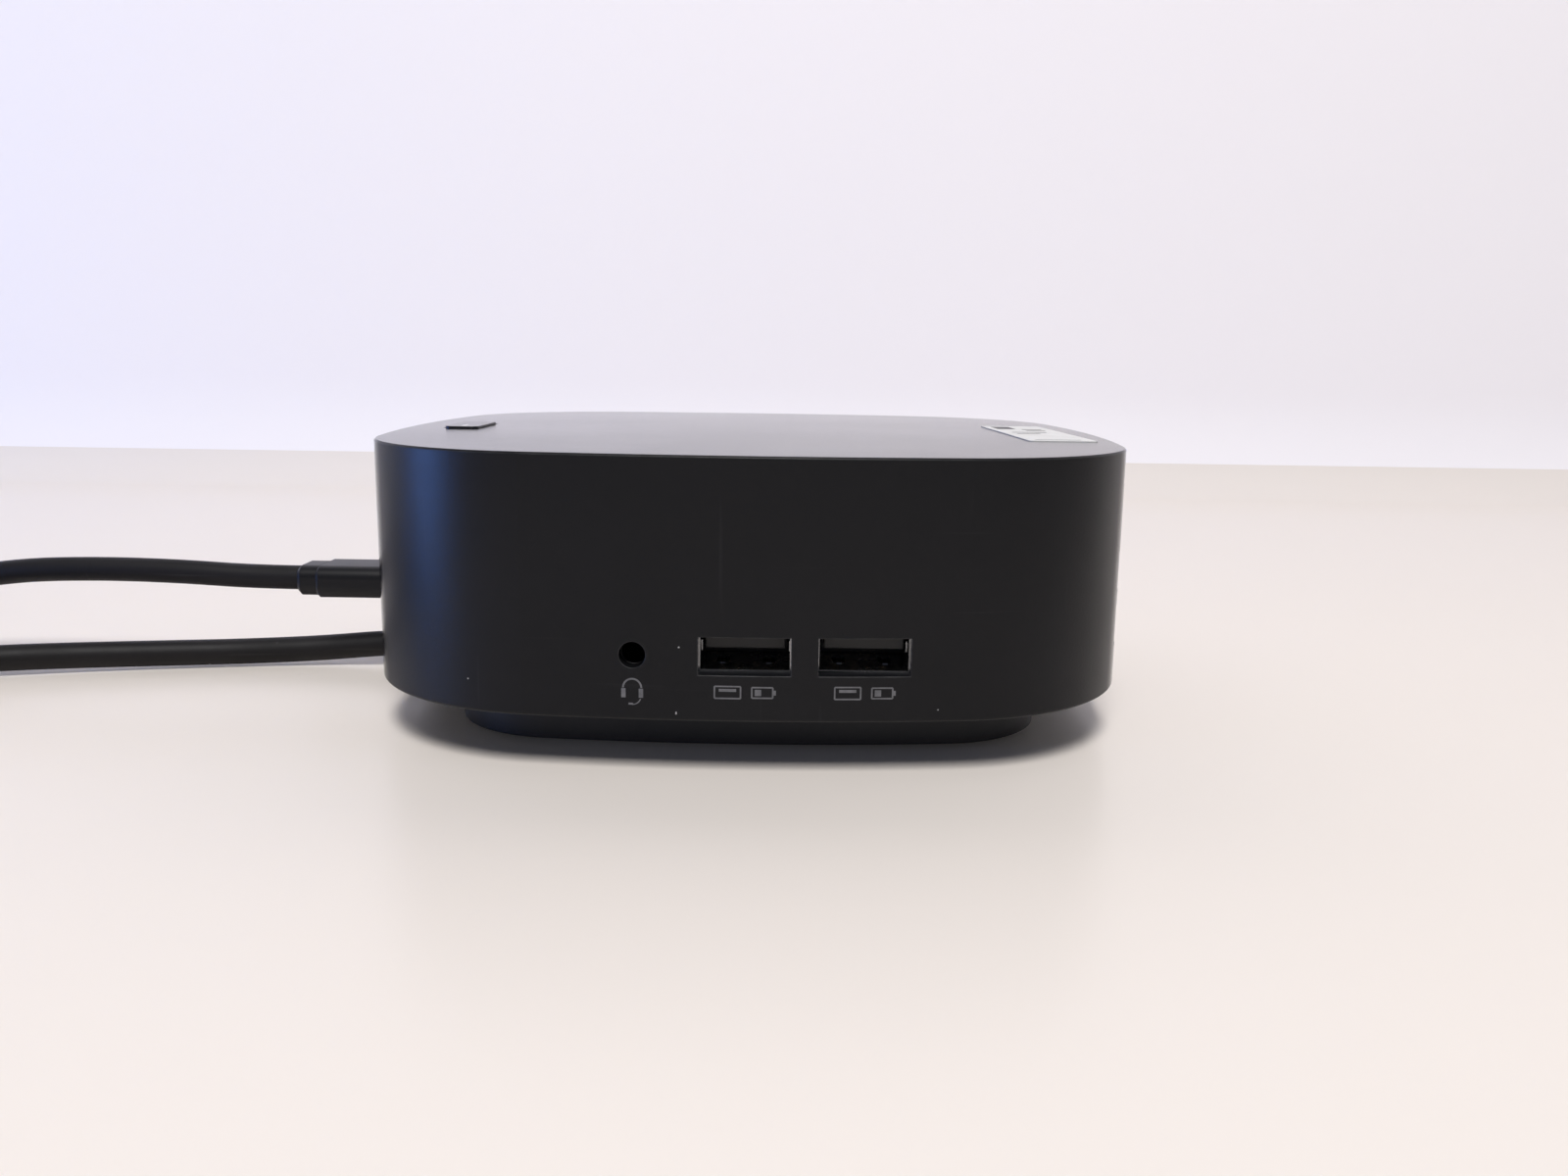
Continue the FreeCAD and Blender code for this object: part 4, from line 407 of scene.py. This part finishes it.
board_green = laminate("board_green")
chip_resin = moulded_plastic("chip_resin", (0.018, 0.018, 0.019), (0.06, 0.06, 0.06),
                             roughness=0.55, grain=5200.0)
tin_sheet = metal("tin_sheet", (0.66, 0.67, 0.68), roughness=0.30, brush=0.00001)
pad_silicone = moulded_plastic("pad_silicone", (0.20, 0.25, 0.33), (0.30, 0.34, 0.40),
                               roughness=0.75, grain=1800.0)
sink_aluminium = metal("sink_aluminium", (0.78, 0.79, 0.81), roughness=0.42, brush=0.00002)
ferrite_grey = moulded_plastic("ferrite_grey", (0.05, 0.05, 0.053), (0.12, 0.12, 0.12),
                               roughness=0.6, grain=3300.0)
can_aluminium = metal("can_aluminium", (0.80, 0.81, 0.83), roughness=0.28, brush=0.00001)
for node, material in {"main_board": board_green, "board_screws": screw_zinc,
                       "controller_chips": chip_resin, "shield_can": tin_sheet,
                       "thermal_pads": pad_silicone, "heat_sink": sink_aluminium,
                       "power_inductors": ferrite_grey, "capacitors": can_aluminium,
                       "button_board": board_green, "button_board_screws": screw_zinc}.items():
    dress(node, material)


# The sockets along the board's edges: folded nickel-plated shells round black plastic tongues,
# soldered to the board so that their mouths stand just inside the housing wall.

port_nickel = metal("port_nickel", (0.44, 0.44, 0.45), roughness=0.20, brush=0.000006,
                    scale=3000.0)
port_black = moulded_plastic("port_black", (0.010, 0.010, 0.011), (0.03, 0.03, 0.03),
                             roughness=0.42, grain=4200.0, dust_share=0.02)
contact_gold = metal("contact_gold", (0.83, 0.62, 0.27), roughness=0.22, brush=0.000004,
                     scale=3000.0)
for node in ("front_usb_a_shells", "rear_usb_a_shell", "hdmi_shell", "display_port_shell",
             "network_jack_shield", "side_usb_c_shell", "power_jack_pin", "host_plug_shell",
             "device_plug_shell", "far_plug_shell"):
    dress(node, port_nickel)
for node in ("front_usb_a_tongues", "rear_usb_a_tongues", "hdmi_tongue", "display_port_tongues",
             "network_jack_housing", "side_usb_c_tongue", "headset_jack", "power_jack_housing"):
    dress(node, port_black)
for node in ("front_usb_a_contacts", "network_jack_contacts", "headset_jack_contacts"):
    dress(node, contact_gold)
dress("rear_port_bracket", tin_sheet)
dress("lock_plate", zinc_plate)


# The power button: a satin cap with a clear light window, over a small switch on its own board,
# which a flat amber cable joins to the main board.

button_satin = moulded_plastic("button_satin", (0.008, 0.008, 0.010), (0.030, 0.031, 0.035),
                               roughness=0.36, specular=0.35, skim=0.4)
window_milk = moulded_plastic("window_milk", (0.72, 0.73, 0.74), (0.80, 0.80, 0.80),
                              roughness=0.25, grain=900.0, depth=0.000005)
switch_cream = moulded_plastic("switch_cream", (0.62, 0.60, 0.53), (0.70, 0.68, 0.62),
                               roughness=0.45)
flex_amber = moulded_plastic("flex_amber", (0.34, 0.13, 0.02), (0.45, 0.2, 0.05),
                             roughness=0.28, grain=1200.0)
for node, material in {"power_button_cap": button_satin, "button_light_guide": window_milk,
                       "button_plunger": switch_cream, "button_switch": chip_resin,
                       "button_flex": flex_amber, "flex_connector": switch_cream,
                       "host_cable_header": switch_cream}.items():
    dress(node, material)


# The top shell: one black moulding for the top and the bulged side wall, with a fine spark-eroded
# texture and cut-outs for every socket. Seen edge-on, its top mirrors the pale room.

# Its paler edge colour is partly rubbed wear and partly a painted highlight line along the rim of
# the top.
shell_black = moulded_plastic("shell_black", (0.0046, 0.0047, 0.0058), (0.075, 0.075, 0.080),
                              roughness=0.42, depth=0.000014, dust_share=0.03, specular=0.24,
                              skim=0.22, scratches=0.06, edge=0.00025)
dress("top_shell", shell_black)


# The prints on the front wall: thin grey ink, laid on the curved face under the sockets. Their
# pictograms are plain ones: a headset, and a socket with a battery beside it. A few pale specks,
# as thin as the ink, lie round them.

MM = 0.001
FRONT_WALL_REACH = 60.2
FRONT_WALL_RADIUS = 248.0
INK_LIFT = 0.03
HEADSET_X = -15.3
EAR_Z = 11.95
DATA_SOCKETS_X = (0.2, 16.8)
DATA_PRINT_Z = 12.35
DATA_PRINT_LINE = 0.22


def ink(name, colour, faded):
    """Screen-printed ink, a little broken by the texture under it."""
    material, tree, shader = shader_material(name, colour, roughness=0.5, specular=0.3)
    texture = place_group(tree, GRAIN, Grain=3400.0, Patch=900.0)
    tone = mix_colour(tree, texture.outputs["Tone"], colour, faded)
    tree.links.new(tone, shader.inputs["Base Color"])
    press_in(tree, shader, texture.outputs["Height"], distance=0.00001)
    return material


def wall_print(name, quads, material):
    """Flat patches, each four (x, z) corners in mm, laid on the bulged front wall."""
    points, faces = [], []
    for corners in quads:
        faces.append(tuple(range(len(points), len(points) + 4)))
        for x, z in corners:
            bulge = math.sqrt(FRONT_WALL_RADIUS ** 2 - x ** 2)
            reach = FRONT_WALL_REACH - FRONT_WALL_RADIUS + bulge
            points.append((x * MM, -(reach + INK_LIFT) * MM, z * MM))
    piece = mesh_piece(name, points, faces, material)
    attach(piece, "dock")


def block(x, z, width, height):
    """A rectangle about its centre."""
    return [(x - width / 2, z - height / 2), (x + width / 2, z - height / 2),
            (x + width / 2, z + height / 2), (x - width / 2, z + height / 2)]


def arc(x, z, radius, line, start, end, steps):
    """An arc drawn with short patches, angles in degrees."""
    quads = []
    for step in range(steps):
        low, high = (math.radians(start + (end - start) * (step + side) / steps)
                     for side in (0, 1))
        corners = ((radius, low), (radius + line, low), (radius + line, high), (radius, high))
        quads.append([(x + reach * math.cos(angle), z + reach * math.sin(angle))
                      for reach, angle in corners])
    return quads


def outline(x, z, width, height, line):
    """The outline of a rectangle."""
    return [block(x, z + height / 2, width, line), block(x, z - height / 2, width, line),
            block(x - width / 2, z, line, height), block(x + width / 2, z, line, height)]


print_grey = ink("print_grey", (0.155, 0.155, 0.165), (0.10, 0.10, 0.108))
head_band = arc(HEADSET_X, 12.7, 1.15, line=0.26, start=0, end=180, steps=12)
ears = [block(HEADSET_X + side * 1.22, EAR_Z, 0.62, 1.30) for side in (-1, 1)]
mouth_arm = arc(HEADSET_X, 11.55, 1.15, line=0.16, start=-90, end=-20, steps=6)
mouth_piece = [block(HEADSET_X - 0.2, 10.42, 0.62, 0.28)]
wall_print("headset_print", head_band + ears + mouth_arm + mouth_piece, print_grey)
for index, x in enumerate(DATA_SOCKETS_X):
    socket_mark = outline(x - 2.3, DATA_PRINT_Z, 3.6, 1.7, DATA_PRINT_LINE)
    socket_mark.append(block(x - 2.3, DATA_PRINT_Z + 0.3, 2.4, 0.42))
    battery_mark = outline(x + 2.5, DATA_PRINT_Z, 2.9, 1.5, DATA_PRINT_LINE)
    battery_mark.append(block(x + 4.2, DATA_PRINT_Z, 0.35, 0.7))
    battery_mark.append(block(x + 1.9, DATA_PRINT_Z, 0.9, 0.9))
    wall_print(f"data_socket_print_{index + 1}", socket_mark + battery_mark, print_grey)

speck_white = ink("speck_white", (0.45, 0.45, 0.46), (0.30, 0.30, 0.31))
wall_print("wall_specks", [block(-8.83, 18.6, 0.22, 0.18), block(-9.2, 9.25, 0.20, 0.36),
                           block(-38.6, 13.0, 0.18, 0.18), block(27.2, 9.9, 0.16, 0.16)],
           speck_white)


# The printed label: coated white paper, stuck on the top a little out of square. Its ink is plain
# bars: grey ones where lines of print would be, and a dark rule at one end.

PAPER_WHITE = (0.76, 0.76, 0.75)
LABEL_CENTRE = (49.9, -0.8)
LABEL_TURN = math.radians(2.6)
LABEL_INK_Z = 45.04


def label_paper():
    """Coated paper: faint fibre tone and a scuffed, slightly duller coating."""
    material, tree, shader = shader_material("label_paper", PAPER_WHITE, roughness=0.5)
    texture = place_group(tree, GRAIN, Grain=1400.0, Patch=160.0)
    lines = place_group(tree, HAIRLINES, Amount=0.5)
    toned = mix_colour(tree, texture.outputs["Tone"], PAPER_WHITE, (0.69, 0.69, 0.68))
    scuffed = mix_colour(tree, lines.outputs["Mask"], toned, (0.50, 0.50, 0.50))
    tree.links.new(scuffed, shader.inputs["Base Color"])
    press_in(tree, shader, texture.outputs["Height"], distance=0.00001)
    return material


def label_print(name, bars, material):
    """Ink on the label: bars (x, y, width, length) in mm in the label's own frame."""
    cosine, sine = math.cos(LABEL_TURN), math.sin(LABEL_TURN)
    points, faces = [], []
    for x, y, width, length in bars:
        faces.append(tuple(range(len(points), len(points) + 4)))
        for dx, dy in ((-1, -1), (1, -1), (1, 1), (-1, 1)):
            u, v = x + dx * width / 2, y + dy * length / 2
            points.append(((LABEL_CENTRE[0] + u * cosine - v * sine) * MM,
                           (LABEL_CENTRE[1] + u * sine + v * cosine) * MM,
                           LABEL_INK_Z * MM))
    piece = mesh_piece(name, points, faces, material)
    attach(piece, "dock")


dress("blank_label", label_paper())
label_grey = ink("label_grey", (0.05, 0.05, 0.055), (0.11, 0.11, 0.115))
label_dark = ink("label_dark", (0.012, 0.035, 0.045), (0.03, 0.07, 0.08))
label_print("label_bars", [(-2.6, 14.5, 3.4, 7.0), (1.8, 10.0, 3.6, 1.2), (1.8, 6.5, 3.6, 1.2),
                           (-0.6, 1.5, 6.2, 1.0), (-1.6, -2.5, 4.2, 0.9)], label_grey)
label_print("label_rule", [(-0.4, -18.2, 7.6, 0.5)], label_dark)


# The two leads: round black jackets. The host lead leaves the rubber gland in the foot and lies on
# the table; the device lead leaves the plug in the left wall. Each ends in a coil and a plug.

HOST_DIAMETER = 4.7 * MM
DEVICE_DIAMETER = 4.4 * MM
FLOOR_GAP = 0.1 * MM
COIL_GAP = 0.5 * MM
HOST_PITCH = HOST_DIAMETER + COIL_GAP
DEVICE_PITCH = DEVICE_DIAMETER + COIL_GAP
HOST_Z = HOST_DIAMETER / 2 + FLOOR_GAP
DEVICE_Z = DEVICE_DIAMETER / 2 + FLOOR_GAP
HOST_COIL_RADIUS = 24.5 * MM
DEVICE_COIL_RADIUS = 22.5 * MM
POINTS_PER_TURN = 16


def millimetres(points):
    return [Vector(point) * MM for point in points]


HOST_ROUTE = millimetres([
    (-58.0, 1.7, 4.3), (-67.0, 1.7, 4.3), (-79.8, 1.2, 3.1), (-93.8, -0.6, 2.65),
    (-108.8, -3.6, 2.75), (-123.8, -7.4, 3.0), (-136.8, -11.2, 3.1), (-147.3, -14.0, 2.45),
    (-155.3, -14.0, 2.45)])
HOST_TAIL = millimetres([
    (-164.7, -14.0, 7.65), (-172.0, -14.0, 7.65), (-181.0, -14.4, 5.3), (-190.0, -14.9, 3.0),
    (-198.0, -14.9, 3.0)])
DEVICE_ROUTE = millimetres([
    (-82.55, 0.0, 16.6), (-91.55, 0.0, 16.6), (-105.8, 0.2, 17.4), (-120.8, 0.7, 17.6),
    (-136.8, 1.4, 16.9), (-151.8, 2.4, 14.0), (-165.8, 3.9, 9.0), (-179.8, 5.9, 4.4),
    (-191.8, 8.0, 2.3), (-203.6, 8.0, 2.3)])
DEVICE_TAIL = millimetres([
    (-212.4, 8.0, 7.2), (-220.0, 8.0, 7.2), (-229.0, 7.6, 5.1), (-238.0, 7.1, 3.0),
    (-246.0, 7.1, 3.0)])


def coil_points(start, mean_radius, pitch, turns, turn_sign, low):
    """Two layers of turns: in on the lower one, out again on the upper one."""
    last = 2 * turns * POINTS_PER_TURN
    outer = mean_radius + pitch * turns / 2
    widen = 1 / math.cos(math.pi / POINTS_PER_TURN)
    points = []
    for index in range(last + 1):
        progress = index / POINTS_PER_TURN
        inward = min(progress, 2 * turns - progress)
        stretch = widen if 0 < index < last else 1.0
        radius = (mean_radius + pitch * (turns / 2 - inward)) * stretch
        climb = min(max(2 * (progress - turns) + 0.5, 0.0), 1.0)
        angle = turn_sign * (math.pi / 2 + 2 * math.pi * progress)
        points.append(Vector((start[0] + radius * math.cos(angle),
                              start[1] - turn_sign * outer + radius * math.sin(angle),
                              low + pitch * climb * climb * (3 - 2 * climb))))
    return points


def lead(name, points, diameter, material):
    """A round lead on one smooth line through its chosen points."""
    curve = bpy.data.curves.new(name, "CURVE")
    curve.dimensions = "3D"
    spline = curve.splines.new("NURBS")
    spline.points.add(len(points) - 1)
    for control, point in zip(spline.points, points):
        control.co = (*point, 1.0)
    spline.order_u = 3
    spline.use_endpoint_u = True
    spline.resolution_u = 6
    curve.bevel_depth = diameter / 2
    curve.bevel_resolution = 7
    curve.use_fill_caps = True
    curve.materials.append(material)
    return add_object(name, curve)


jacket = moulded_plastic("lead_jacket", (0.0078, 0.0069, 0.0078), (0.045, 0.045, 0.045),
                         roughness=0.56, grain=700.0, depth=0.00004, patch=90.0, specular=0.24,
                         scratches=0.3)
host_coil = coil_points((-0.160, -0.014), HOST_COIL_RADIUS, HOST_PITCH, turns=2, turn_sign=1,
                        low=HOST_Z)
device_coil = coil_points((-0.208, 0.008), DEVICE_COIL_RADIUS, DEVICE_PITCH, turns=3,
                          turn_sign=-1, low=DEVICE_Z)
host_lead = lead("host_lead", HOST_ROUTE + host_coil + HOST_TAIL, HOST_DIAMETER, jacket)
device_lead = lead("device_lead", DEVICE_ROUTE + device_coil + DEVICE_TAIL, DEVICE_DIAMETER,
                   jacket)
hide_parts("host_cord", "host_cord_coil", "host_cord_tail")
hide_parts("device_cord", "device_cord_coil", "device_cord_tail")
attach(host_lead, "dock")
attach(device_lead, "device_lead")

gland_rubber = moulded_plastic("gland_rubber", (0.010, 0.010, 0.011), (0.03, 0.03, 0.03),
                               roughness=0.6, grain=1500.0)
grip_satin = moulded_plastic("grip_satin", (0.0055, 0.0053, 0.0066), (0.045, 0.045, 0.050),
                             roughness=0.40, grain=3000.0, depth=0.00001, specular=0.26,
                             scratches=0.3)
for node, material in {"cable_gland": gland_rubber, "host_cable_inner_lead": jacket,
                       "host_plug_grip": grip_satin, "device_plug_collar": grip_satin,
                       "device_plug_grip": grip_satin, "far_plug_grip": grip_satin}.items():
    dress(node, material)
